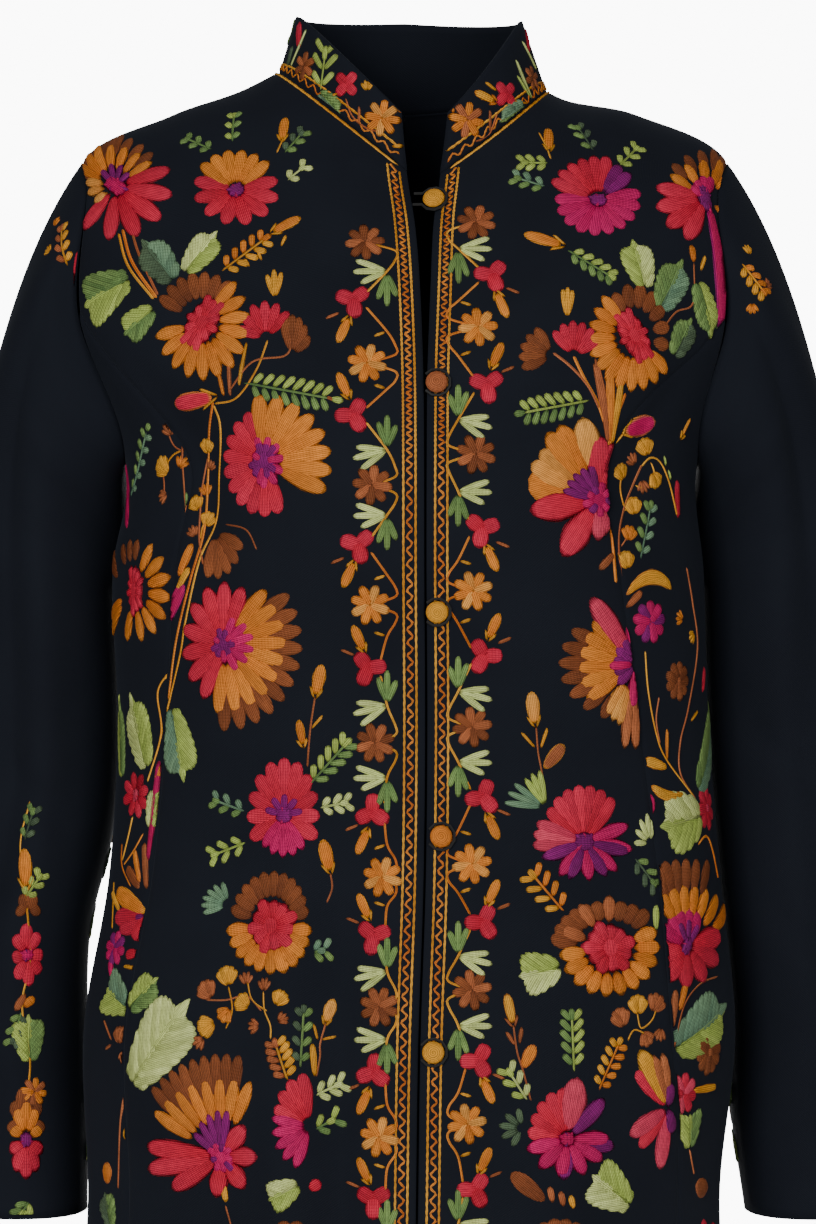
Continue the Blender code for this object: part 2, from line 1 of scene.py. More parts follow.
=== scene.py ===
import math

import bmesh
import bpy
import numpy as np
from mathutils import Matrix, Vector


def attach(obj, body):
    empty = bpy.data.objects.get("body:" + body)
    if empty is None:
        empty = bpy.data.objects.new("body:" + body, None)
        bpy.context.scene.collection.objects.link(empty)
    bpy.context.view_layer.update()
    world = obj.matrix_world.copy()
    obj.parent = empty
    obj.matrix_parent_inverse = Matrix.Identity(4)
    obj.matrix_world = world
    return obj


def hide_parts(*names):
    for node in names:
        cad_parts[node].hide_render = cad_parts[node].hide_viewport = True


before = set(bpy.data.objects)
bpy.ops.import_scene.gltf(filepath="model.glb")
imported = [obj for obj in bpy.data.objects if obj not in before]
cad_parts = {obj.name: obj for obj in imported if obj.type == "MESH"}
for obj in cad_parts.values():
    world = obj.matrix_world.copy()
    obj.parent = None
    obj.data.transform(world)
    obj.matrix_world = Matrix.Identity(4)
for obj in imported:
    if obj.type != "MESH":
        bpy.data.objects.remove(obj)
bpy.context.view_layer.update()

mm = 0.001

# Camera, level with the chest, as far away as a portrait lens would stand
camera = {"x": 0.002, "y": -2.88, "z": -0.313, "frameHeight": 0.7344, "sensor": 36.0,
          "clipStart": 0.05, "clipEnd": 20}


def addCamera():
    lens = bpy.data.cameras.new("camera")
    lens.sensor_width = camera["sensor"]
    lens.lens = camera["sensor"] * -camera["y"] / camera["frameHeight"]
    lens.clip_start = camera["clipStart"]
    lens.clip_end = camera["clipEnd"]
    eye = bpy.data.objects.new("camera", lens)
    eye.location = (camera["x"], camera["y"], camera["z"])
    eye.rotation_euler = (math.radians(90), 0, 0)
    bpy.context.scene.collection.objects.link(eye)
    bpy.context.scene.camera = eye


# Soft boxes round the garment: place, size, watts and the point that they face
lamps = {
    "key": {"at": (-0.9, -2.7, 0.3), "size": 1.3, "power": 50, "aim": (0, 0, -0.3)},
    "fill": {"at": (1.2, -2.6, 0.0), "size": 1.5, "power": 24, "aim": (0, 0, -0.35)},
    "rim": {"at": (0.4, 2.2, 1.1), "size": 1.8, "power": 3, "aim": (0, 0, -0.3)},
}
studio = {"sky": (1.0, 1.0, 1.0), "skyPower": 0.18, "floorRadius": 0.9, "floorZ": -0.8,
          "floorSides": 96, "floorColour": (0.86, 0.86, 0.85), "floorRoughness": 0.8,
          "cardAt": (0, 4, -0.3), "cardSize": (1.7, 2.3), "cardPower": 10}


def addStudio():
    for name, lamp in lamps.items():
        light = bpy.data.lights.new(name, "AREA")
        light.size = lamp["size"]
        light.energy = lamp["power"]
        holder = bpy.data.objects.new(name, light)
        holder.location = lamp["at"]
        away = Vector(lamp["at"]) - Vector(lamp["aim"])
        holder.rotation_euler = away.to_track_quat("Z", "Y").to_euler()
        bpy.context.scene.collection.objects.link(holder)
    world = bpy.data.worlds.new("studio")
    world.use_nodes = True
    backdrop = world.node_tree.nodes["Background"]
    backdrop.inputs["Color"].default_value = (*studio["sky"], 1)
    backdrop.inputs["Strength"].default_value = studio["skyPower"]
    bpy.context.scene.world = world
    disc = bmesh.new()
    bmesh.ops.create_circle(disc, cap_ends=True, segments=studio["floorSides"],
                            radius=studio["floorRadius"],
                            matrix=Matrix.Translation((0, 0, studio["floorZ"])))
    floor = meshObject("floor", disc, floorPaint())
    sheet = bmesh.new()
    bmesh.ops.create_grid(sheet, x_segments=1, y_segments=1, size=0.5)
    bmesh.ops.scale(sheet, vec=(*studio["cardSize"], 1), verts=sheet.verts)
    bmesh.ops.rotate(sheet, matrix=Matrix.Rotation(math.radians(90), 3, "X"), verts=sheet.verts)
    bmesh.ops.translate(sheet, vec=studio["cardAt"], verts=sheet.verts)
    card = meshObject("white backdrop", sheet, cardPaint())


def meshObject(name, work, material):
    mesh = bpy.data.meshes.new(name)
    work.to_mesh(mesh)
    work.free()
    mesh.materials.append(material)
    mesh.shade_smooth()
    piece = bpy.data.objects.new(name, mesh)
    bpy.context.scene.collection.objects.link(piece)
    return piece


# Materials

def newMaterial(name):
    material = bpy.data.materials.new(name)
    material.use_nodes = True
    return material, material.node_tree.nodes["Principled BSDF"]


def setInputs(node, values):
    for name, value in values.items():
        node.inputs[name].default_value = value


def mathsIn(material):
    # Adds maths nodes to a material; each value is a number or another node's output
    def calculate(kind, *values):
        node = material.node_tree.nodes.new("ShaderNodeMath")
        node.operation = kind
        for entry, value in zip(node.inputs, values):
            if isinstance(value, (int, float)):
                entry.default_value = value
            else:
                material.node_tree.links.new(value, entry)
        return node.outputs["Value"]
    return calculate


def floorPaint():
    material, shader = newMaterial("pale floor")
    setInputs(shader, {"Base Color": (*studio["floorColour"], 1),
                       "Roughness": studio["floorRoughness"]})
    return material


def cardPaint():
    material, shader = newMaterial("bright white card")
    setInputs(shader, {"Emission Color": (1, 1, 1, 1), "Emission Strength": studio["cardPower"]})
    return material


# The rib tone is painted shade: the twill's hollows are darker than its ribs
wool = {"dark": (0.0042, 0.0054, 0.0094), "light": (0.0080, 0.0102, 0.0164), "darkUpTo": 0.25,
        "roughness": 0.88, "specular": 0.15, "sheen": 0.035, "sheenColour": (0.55, 0.65, 0.85),
        "twillWidth": 1.15, "twillLean": 52, "ribWander": 0.7, "ribDetail": 0.8,
        "slubScale": 0.35, "slubDetail": 6, "patchScale": 0.012, "patchDetail": 3,
        "ribHeight": 0.6, "ribPaintedShade": 0.45, "bump": 0.35, "bumpDepth": 0.00022}


def woolCloth():
    # Fine twill ribs and soft slubs; the ribs' hollows get painted shade, and patches vary the tone
    # at random. The UV map is in millimetres of cloth
    material, shader = newMaterial("black wool twill")
    nodes, links = material.node_tree.nodes, material.node_tree.links
    calculate = mathsIn(material)
    place = nodes.new("ShaderNodeUVMap")
    place.uv_map = "cloth"
    lean = nodes.new("ShaderNodeMapping")
    setInputs(lean, {"Rotation": (0, 0, math.radians(wool["twillLean"]))})
    ribs = nodes.new("ShaderNodeTexWave")  # at scale 1 its ribs are pi / 10 apart
    setInputs(ribs, {"Scale": math.pi / 10 / wool["twillWidth"], "Distortion": wool["ribWander"],
                     "Detail Scale": wool["ribDetail"]})
    slubs = nodes.new("ShaderNodeTexNoise")
    setInputs(slubs, {"Scale": wool["slubScale"], "Detail": wool["slubDetail"]})
    patches = nodes.new("ShaderNodeTexNoise")
    setInputs(patches, {"Scale": wool["patchScale"], "Detail": wool["patchDetail"]})
    links.new(place.outputs["UV"], lean.inputs["Vector"])
    links.new(lean.outputs["Vector"], ribs.inputs["Vector"])
    links.new(place.outputs["UV"], slubs.inputs["Vector"])
    links.new(place.outputs["UV"], patches.inputs["Vector"])
    height = calculate("MULTIPLY_ADD", ribs.outputs["Fac"], wool["ribHeight"],
                       slubs.outputs["Fac"])
    # Colour: painted shade in the hollows between the twill ribs, plus patches of random tone
    tone = calculate("MULTIPLY_ADD", ribs.outputs["Fac"], wool["ribPaintedShade"],
                     patches.outputs["Fac"])
    ramp = nodes.new("ShaderNodeValToRGB")
    ramp.color_ramp.elements[0].position = wool["darkUpTo"]
    ramp.color_ramp.elements[0].color = (*wool["dark"], 1)
    ramp.color_ramp.elements[1].color = (*wool["light"], 1)
    bump = nodes.new("ShaderNodeBump")
    setInputs(bump, {"Strength": wool["bump"], "Distance": wool["bumpDepth"]})
    links.new(height, bump.inputs["Height"])
    links.new(tone, ramp.inputs["Fac"])
    links.new(ramp.outputs["Color"], shader.inputs["Base Color"])
    links.new(bump.outputs["Normal"], shader.inputs["Normal"])
    setInputs(shader, {"Roughness": wool["roughness"], "Sheen Weight": wool["sheen"],
                       "Sheen Tint": (*wool["sheenColour"], 1),
                       "Specular IOR Level": wool["specular"]})
    return material


# The garment's surfaces, in millimetres. Body rings from hem to neckline:
# up, half width, front and back depth, front, side and back z, squareness, dip, slide, tilt,
# shift of the closing, half gap of the closing
bodyRings = [
    (0, 199, 152, 144, -790, -790, -790, 2.30, 2.0, -1, 0, 5.0, 0.6),
    (125, 187, 140, 134, -665, -665, -665, 2.30, 2.0, -1, 0, 7.0, 0.6),
    (230, 194, 134, 130, -560, -560, -560, 2.30, 2.0, 3, 0, 8.5, 0.6),
    (320, 183, 124, 119, -470, -470, -470, 2.30, 2.0, 6, 0, 11.5, 0.6),
    (410, 177, 119, 112, -380, -380, -380, 2.30, 2.0, 5, 0, 12.5, 0.6),
    (500, 177, 124, 112, -290, -290, -290, 2.30, 2.0, 2, 0, 12.0, 0.6),
    (565, 171, 122, 110, -225, -225, -225, 2.30, 2.0, 4, 0, 12.0, 0.7),
    (660, 206, 113, 104, -172, -130, -142, 2.20, 2.0, 0, 0, 12.0, 1.2),
    (746, 194, 99, 88, -120, -44, -76, 1.75, 1.5, 0, 0, 12.0, 3.2),
    (808, 139, 82, 76, -88, -15, -40, 1.90, 1.3, 0, 0, 11.5, 5.2),
    (850, 99, 70, 66, -69, -4, -20, 2.05, 1.2, 0, 3, 11.3, 8.2),
    (871, 80, 63, 60, -60, 5, -8, 2.10, 1.1, 5, 6, 11.2, 9.7),
]
underarmUp, armTopUp, neckUp = 565, 746, 871
collarUp = 100  # places on the collar run up to this, in hundredths of its height
collarTop = {"ring": (67.5, 50, 56, -31, 41, 45, 2.1, 1.15, 2.7, 1.3, 12.0), "centreY": -14,
             "halfGap": 13.5}
armhole = {"leftFrontBite": 28.0, "rightFrontBite": 22.0, "backBite": 33.0, "square": 0.80,
           "level": 0.52}
# Princess seams: up, then degrees of turn on the left and right front
princessSeams = [(0, 55.0, 57.0), (150, 53.5, 57.0), (230, 47.5, 57.0), (320, 46.5, 55.5),
                 (410, 43.5, 53.5), (500, 39.0, 50.0), (565, 37.5, 49.0), (615, 44.5, 57.0)]
# Sleeve sections: down, z, centre x and y, half width, half depth, turn, squareness
capEnd, cuffDown = 250, 625
leftSleeve = [(250, -300, 224.0, 26, 43.0, 58, 12, 2.4), (350, -400, 228.0, 28, 43.0, 56, 12, 2.4),
              (500, -550, 241.0, 31, 42.5, 52, 12, 2.5), (560, -610, 241.0, 30, 42.0, 50, 11, 2.5),
              (625, -675, 250.0, 26, 43.0, 48, 8, 2.5)]
rightSleeve = [(250, -300, 220.0, 26, 43.0, 58, 12, 2.4), (350, -400, 218.0, 28, 43.0, 56, 12, 2.4),
               (400, -450, 222.5, 29, 42.5, 55, 12, 2.5), (460, -510, 236.0, 31, 42.5, 53, 12, 2.5),
               (550, -600, 236.0, 32, 42.0, 50, 12, 2.5), (625, -675, 236.5, 28, 43.0, 48, 8, 2.5)]
# How the cap leaves the armhole and meets the arm, at its four quarters: x, y, z, arrive
capHandles = {"top": (45, 0, -62, 85), "front": (42, -16, -30, 70),
              "underarm": (11, 4, -10, 34), "back": (40, 17, -32, 70)}
# Folds: turn and place along at the start, the same at the end, width, height
bodyFolds = [(-24, 400, -22, -90, 13, 7.0), (-14, 400, -13, -90, 11, -6.0),
             (27, 380, 24, -60, 18, 4.5), (13, 330, 11, -60, 14, -3.5),
             (-74, 330, -72, -60, 20, 4.5), (72, 300, 76, -60, 20, 4.0),
             (-52, 640, -38, 470, 13, -3.5), (50, 640, 40, 500, 13, -3.5),
             (148, 400, 146, -60, 20, 6.0), (164, 430, 163, -60, 16, -2.5),
             (-158, 380, -156, -60, 22, 5.5), (-138, 420, -134, -60, 18, -3.0),
             (130, 455, 218, 430, 16, -1.5)]
leftSleeveFolds = [(88, -60, 76, 330, 13, -7.0), (110, 80, 104, 620, 13, 3.0),
                   (50, 60, 46, 560, 16, 3.5), (140, 330, 50, 385, 11, -4.0),
                   (130, 440, 40, 500, 11, -3.0), (300, 70, 285, 360, 16, -5.0),
                   (230, 400, 310, 350, 12, -4.0), (190, 10, 190, 250, 20, 7.5)]
rightSleeveFolds = [(84, -60, 80, 560, 14, -7.0), (112, 60, 108, 620, 13, 4.0),
                    (48, 60, 44, 600, 16, 3.5), (140, 395, 50, 335, 11, -4.0),
                    (120, 440, 20, 405, 11, -3.5), (110, 545, 10, 575, 11, -3.0),
                    (292, 70, 280, 360, 16, -5.0), (235, 370, 315, 420, 12, -4.0),
                    (190, 10, 190, 250, 20, 7.5)]
bodyDegree, sleeveDegree = 3.0, 0.9  # millimetres of cloth in a degree of turn
step = 0.5
foldEase = 0.7  # how soon a fold rises from its ends: lower is sooner


def readTable(table, place):
    # A smooth curve through every column's values, read at many places at once
    rows = np.asarray(table, float)
    places, values = rows[:, 0], rows[:, 1:]
    place = np.clip(place, places[0], places[-1])
    k = np.clip(np.searchsorted(places, place, side="right") - 1, 0, len(places) - 2)
    before, after = np.maximum(k - 1, 0), np.minimum(k + 2, len(places) - 1)
    span = places[k + 1] - places[k]
    t = ((place - places[k]) / span)[:, None]
    low, high = values[k], values[k + 1]
    lowSlope = (high - values[before]) * (span / (places[k + 1] - places[before]))[:, None]
    highSlope = (values[after] - low) * (span / (places[after] - places[k]))[:, None]
    return ((2 * t**3 - 3 * t**2 + 1) * low + (t**3 - 2 * t**2 + t) * lowSlope
            + (3 * t**2 - 2 * t**3) * high + (t**3 - t**2) * highSlope).T


def foldLift(folds, turn, along, degree):
    total = np.zeros(len(turn))
    for startTurn, startAlong, endTurn, endAlong, width, height in folds:
        runTurn = (endTurn - startTurn) * degree
        runAlong = endAlong - startAlong
        length = math.hypot(runTurn, runAlong)
        offTurn = ((turn - startTurn + 180) % 360 - 180) * degree
        offAlong = along - startAlong
        share = np.clip((offTurn * runTurn + offAlong * runAlong) / length**2, 0, 1)
        aside = (offTurn * runAlong - offAlong * runTurn) / length
        total += height * np.sin(math.pi * share) ** foldEase * np.exp(-(aside / width) ** 2)
    return total


def superellipse(turn, squareness):
    s, c = np.sin(np.radians(turn)), np.cos(np.radians(turn))
    reach = (np.abs(s) ** squareness + np.abs(c) ** squareness) ** (-1 / squareness)
    return reach * s, reach * c


def ringPoint(turn, shape, centreY=0.0):
    (halfWidth, frontDepth, backDepth, frontZ, sideZ, backZ, squareness, dip, slide, tilt,
     shift) = shape[:11]
    across, along = superellipse(turn, squareness)
    depth = np.where(along >= 0, frontDepth, backDepth)
    endZ = np.where(along >= 0, frontZ, backZ)
    fall = 1 - np.abs(across) ** dip
    return np.stack([halfWidth * across + slide * across**2 + shift * np.maximum(along, 0) ** 2,
                     centreY - depth * along,
                     sideZ - tilt * across + (endZ - sideZ) * fall], axis=1)


def bodyPoint(turn, up):
    # turn in degrees from the closing towards the wearer's left, up from the hem
    point = ringPoint(turn, readTable(bodyRings, up))
    lift = foldLift(bodyFolds, turn, up, bodyDegree)
    outward = np.stack([np.sin(np.radians(turn)), -np.cos(np.radians(turn)), 0 * turn], axis=1)
    return point + outward * lift[:, None]


def unit(vectors):
    return vectors / np.maximum(np.linalg.norm(vectors, axis=1), 1e-9)[:, None]


def slopeNormal(surface, a, b, bLow, bHigh):
    low, high = np.maximum(b - step, bLow), np.minimum(b + step, bHigh)
    runA = surface(a + step, b) - surface(a - step, b)
    runB = surface(a, high) - surface(a, low)
    return unit(np.cross(runA, runB))


def bodyNormal(turn, up):
    return slopeNormal(bodyPoint, turn, up, 0, neckUp)


def closingTurn(up):
    values = readTable(bodyRings, up)
    return np.degrees(values[11] / values[0])


def armholePlace(angle, side):
    # angle 0 is the arm's top, 90 the front, 180 the underarm, 270 the back
    s, c = np.sin(np.radians(angle)), np.cos(np.radians(angle))
    frontBite = armhole["leftFrontBite"] if side > 0 else armhole["rightFrontBite"]
    bite = np.where(s >= 0, frontBite, armhole["backBite"])
    turn = 90 - np.sign(s) * bite * np.abs(s) ** armhole["square"]
    middle = underarmUp + (armTopUp - underarmUp) * armhole["level"]
    end = np.where(c >= 0, armTopUp, underarmUp)
    return side * turn, middle + (end - middle) * np.abs(c) ** armhole["square"]


def sleeveRing(angle, down, side):
    sections = leftSleeve if side > 0 else rightSleeve
    z, x, y, halfWidth, halfDepth, swing, squareness = readTable(sections, down)
    deep, wide = superellipse(angle, squareness)
    across, along = halfWidth * wide, -halfDepth * deep
    s, c = np.sin(np.radians(swing)), np.cos(np.radians(swing))
    return np.stack([side * (x + across * c - along * s), y + across * s + along * c, z], axis=1)


def sleeveSmooth(angle, down, side):
    s, c = np.sin(np.radians(angle)), np.cos(np.radians(angle))
    ends = np.where((c >= 0)[:, None], capHandles["top"], capHandles["underarm"])
    sides = np.where((s >= 0)[:, None], capHandles["front"], capHandles["back"])
    handle = (c**2)[:, None] * ends + (s**2)[:, None] * sides
    leave = handle[:, :3] * (side, 1, 1)
    start = bodyPoint(*armholePlace(angle, side))
    full = np.full(len(angle), float(capEnd))
    end = sleeveRing(angle, full, side)
    hang = unit(sleeveRing(angle, full + 10 * step, side) - end)
    t = np.clip(down / capEnd, 0, 1)[:, None]
    cap = ((1 - t) ** 3 * start + 3 * (1 - t) ** 2 * t * (start + leave)
           + 3 * (1 - t) * t**2 * (end - hang * handle[:, 3:]) + t**3 * end)
    return np.where((down >= capEnd)[:, None], sleeveRing(angle, down, side), cap)


def sleevePoint(angle, down, side):
    # angle round the arm, down from the cap's seam
    folds = leftSleeveFolds if side > 0 else rightSleeveFolds
    lift = foldLift(folds, angle, down, sleeveDegree)
    normal = slopeNormal(lambda a, b: sleeveSmooth(a, b, side), angle, down, 0, cuffDown)
    return sleeveSmooth(angle, down, side) + normal * (lift * side)[:, None]


def collarPoint(turn, height):
    # height runs from 0 at the neckline to collarUp at the top edge
    low = bodyPoint(turn, np.full(len(turn), float(neckUp)))
    high = ringPoint(turn, collarTop["ring"], collarTop["centreY"])
    share = (height / collarUp)[:, None]
    return low + (high - low) * share


# Cloth panels: counts of rows and columns, then the seams and edges in millimetres
panels = {"thickness": 2.0, "fine": 4, "skirtRows": 20, "rowEase": 1.35, "frontRows": 10,
          "backRows": 14, "sideColumns": 7, "bodyColumns": 9, "frontLevel": 690,
          "backLevel": 535, "neckRows": 6, "backNeckRows": 5, "collarRows": 3, "capRows": 9,
          "armRows": 14, "edgeShares": (0.006, 0.015, 0.035), "seamDip": 0.9, "seamWidth": 2.2,
          "collarFoot": -3.0, "collarStretch": (1.2, 0.55), "merge": 0.02}


def lines(count):
    return int(count * panels["fine"])


def skirtUps(top):
    t = np.arange(lines(panels["skirtRows"]) + 1) / lines(panels["skirtRows"])
    return top * (1 - (1 - t) ** panels["rowEase"])


def princessLine(side):
    endTurn, endUp = armholePlace(np.array([90.0]), side)
    seam = princessSeams + [(endUp[0], abs(endTurn[0]), abs(endTurn[0]))]
    ups = skirtUps(endUp[0])
    return np.stack([side * readTable(seam, ups)[0 if side > 0 else 1], ups], axis=1)


def sideLine(side):
    ups = skirtUps(underarmUp)
    return np.stack([np.full(len(ups), side * 90.0), ups], axis=1)


def armholeLine(first, last, count, side):
    angles = np.linspace(first, last, lines(count) + 1)
    return np.stack(armholePlace(angles, side), axis=1)


def middleUps(upperRows, level):
    upper = level + (neckUp - level) * (np.arange(upperRows) + 1) / upperRows
    return np.concatenate([skirtUps(level), upper])


def neckTurns(side):
    first = closingTurn(np.array([float(neckUp)]))[0]
    return side * np.linspace(first, 90, lines(panels["neckRows"]) + 1)


def backNeckTurns(side):
    return side * np.linspace(180, 90, lines(panels["backNeckRows"]) + 1)


def columnShares(columns):
    # Even columns, with a few more close to each edge so that the seams can roll in
    inner = np.arange(1, columns) / columns
    near = np.array(panels["edgeShares"])
    return np.unique(np.concatenate([[0, 1], near, 1 - near, inner]))


def panelGrid(left, right, columns, top=None):
    shares = columnShares(columns)[None, :, None]
    grid = left[:, None, :] * (1 - shares) + right[:, None, :] * shares
    if top is not None:
        straight = grid[-1]
        fade = np.linspace(0, 1, len(left))[:, None, None] ** 3
        grid = grid + (top - straight)[None] * fade
    return grid


def seamLift(grid):
    # The cloth rolls in by the seam's dip along both ends of every row of a panel
    steps = np.linalg.norm(np.diff(grid, axis=1), axis=2)
    fromLeft = np.concatenate([np.zeros((len(grid), 1)), np.cumsum(steps, axis=1)], axis=1)
    near = np.minimum(fromLeft, fromLeft[:, -1:] - fromLeft)
    return -panels["seamDip"] * np.exp(-(near / panels["seamWidth"]) ** 2)


def clothPiece(surface, normal, grid, stretch, flip, join=False):
    # A grid of cloth laid on the surface; stretch turns the places into millimetres for the UV
    rows, columns = grid.shape[0] - 1, grid.shape[1] - 1
    a, b = grid[..., 0].ravel(), grid[..., 1].ravel()
    points = surface(a, b)
    lift = seamLift(points.reshape(grid.shape[0], grid.shape[1], 3)).ravel()
    points = (points + normal(a, b) * lift[:, None]) * mm
    work = bmesh.new()
    bmesh.ops.create_grid(work, x_segments=columns, y_segments=rows, size=0.5)
    cloth = work.loops.layers.uv.new("cloth")
    places = {}
    for vert in work.verts:
        column = round((vert.co.x + 0.5) * columns)
        row = round((vert.co.y + 0.5) * rows)
        places[vert] = row * (columns + 1) + column
    for face in work.faces:
        for loop in face.loops:
            place = places[loop.vert]
            loop[cloth].uv = (a[place] * stretch[0], b[place] * stretch[1])
    for vert, place in places.items():
        vert.co = points[place]
    if flip:
        bmesh.ops.reverse_faces(work, faces=work.faces)
    if join:
        bmesh.ops.remove_doubles(work, verts=work.verts, dist=panels["merge"] * mm)
    return work


def finishCloth(name, work, node):
    # The stitches are sewn to this cloth
    piece = meshObject(name, work, woolMaterial)
    wall = piece.modifiers.new("wall", "SOLIDIFY")
    wall.thickness = panels["thickness"] * mm
    wall.offset = -1
    wall.use_even_offset = True
    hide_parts(node)
    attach(piece, "root")
    print("made", name)


def closingEdge(side):
    def turnAt(ups):
        return side * closingTurn(ups)
    return turnAt


def uprightEdge(turn):
    def turnAt(ups):
        return np.full(len(ups), float(turn))
    return turnAt


def bodyPanel(inner, outer, neck, level, flip):
    # From inner, the closing or the back's middle, to outer, which ends in the armhole
    ups = middleUps(len(outer) - len(neck) - lines(panels["skirtRows"]), level)
    edge = np.stack([inner(ups), ups], axis=1)
    top = np.stack([neck[1:], np.full(len(neck) - 1, float(neckUp))], axis=1)
    grid = panelGrid(np.concatenate([edge, top]), outer, lines(panels["bodyColumns"]))
    return clothPiece(bodyPoint, bodyNormal, grid, (bodyDegree, 1), flip)


def frontPanel(side):
    armLine = armholeLine(90, 0, panels["frontRows"], side)
    outer = np.concatenate([princessLine(side)[:-1], armLine])
    return bodyPanel(closingEdge(side), outer, neckTurns(side), panels["frontLevel"], side < 0)


def sidePanel(side):
    shares = columnShares(lines(panels["sideColumns"]))
    top = np.stack(armholePlace(90 + 90 * shares, side), axis=1)
    grid = panelGrid(princessLine(side), sideLine(side), lines(panels["sideColumns"]), top)
    return clothPiece(bodyPoint, bodyNormal, grid, (bodyDegree, 1), side < 0)


def backHalf(side):
    armLine = armholeLine(180, 360, panels["backRows"], side)
    outer = np.concatenate([sideLine(side)[:-1], armLine])
    return bodyPanel(uprightEdge(180 * side), outer, backNeckTurns(side), panels["backLevel"],
                     side > 0)


def sleevePanel(side):
    counts = (panels["frontRows"], panels["sideColumns"], panels["backRows"])
    ends = (0, 90, 180, 360)
    runs = [np.linspace(ends[i], ends[i + 1], lines(counts[i]) + 1)[:-1] for i in range(3)]
    angles = np.concatenate(runs + [[360.0]])
    capDowns = np.linspace(0, capEnd, lines(panels["capRows"]) + 1)[:-1]
    armDowns = np.linspace(capEnd, cuffDown, lines(panels["armRows"]) + 1)
    downs = np.concatenate([capDowns, armDowns])
    grid = np.stack(np.meshgrid(angles, downs), axis=2)

    def surface(a, b):
        return sleevePoint(a, b, side)

    def normal(a, b):
        return slopeNormal(surface, a, b, 0, cuffDown) * side
    return clothPiece(surface, normal, grid, (sleeveDegree, -1), side < 0, True)


def collarPanel():
    turns = np.concatenate([neckTurns(1), backNeckTurns(1)[-2::-1], backNeckTurns(-1)[1:] + 360,
                            neckTurns(-1)[-2::-1] + 360])
    firstEdge = math.degrees(math.asin(collarTop["halfGap"] / collarTop["ring"][0]))
    low = turns[0]
    rows = lines(panels["collarRows"])
    heights = np.linspace(panels["collarFoot"], collarUp, rows + 1)
    openBy = (firstEdge - low) * np.abs(180 - turns) / (180 - low) * np.sign(180 - turns)
    grid = np.stack([turns[None] + openBy[None] * heights[:, None] / collarUp,
                     np.repeat(heights[:, None], len(turns), axis=1)], axis=2)

    def normal(a, b):
        return slopeNormal(collarPoint, a, b, 0, collarUp)
    return clothPiece(collarPoint, normal, grid, panels["collarStretch"], False)


# Embroidery. Threads and their colours, dark end first
threads = {
    "crimson": ((0.50, 0.008, 0.026), (0.66, 0.030, 0.070)),
    "rose": ((0.58, 0.028, 0.080), (0.72, 0.070, 0.120)),
    "magenta": ((0.48, 0.003, 0.075), (0.60, 0.012, 0.130)),
    "purple": ((0.17, 0.003, 0.110), (0.26, 0.010, 0.160)),
    "orange": ((0.60, 0.150, 0.016), (0.78, 0.260, 0.034)),
    "apricot": ((0.68, 0.230, 0.036), (0.84, 0.380, 0.080)),
    "rust": ((0.34, 0.090, 0.030), (0.46, 0.140, 0.050)),
    "brown": ((0.15, 0.038, 0.013), (0.30, 0.085, 0.026)),
    "gold": ((0.66, 0.260, 0.016), (0.84, 0.400, 0.042)),
    "lime": ((0.30, 0.40, 0.070), (0.46, 0.57, 0.130)),
    "cream": ((0.50, 0.58, 0.170), (0.70, 0.78, 0.290)),
    "green": ((0.10, 0.19, 0.055), (0.23, 0.35, 0.100)),
    "moss": ((0.055, 0.090, 0.050), (0.11, 0.16, 0.085)),
    "sea": ((0.10, 0.20, 0.125), (0.21, 0.34, 0.185)),
}
# Chain stitch thread: a row and a stitch in millimetres, then how its loops and fibres show; the
# row, groove and loop tones are painted light and shade
yarn = {"rowWidth": 1.05, "length": 1.9, "lean": 0.42, "rowHeight": 0.72, "loopHeight": 0.28,
        "fibreRun": 0.16, "fibreScale": 1.1, "fibreDetail": 4, "rowPaintedLight": 0.72,
        "groovePaintedShade": 0.40, "loopPaintedShade": 0.07, "fibreTone": 1.1, "fibreDark": 0.48,
        "bump": 0.9, "bumpDepth": 0.0004, "roughness": 0.62, "specular": 0.18}


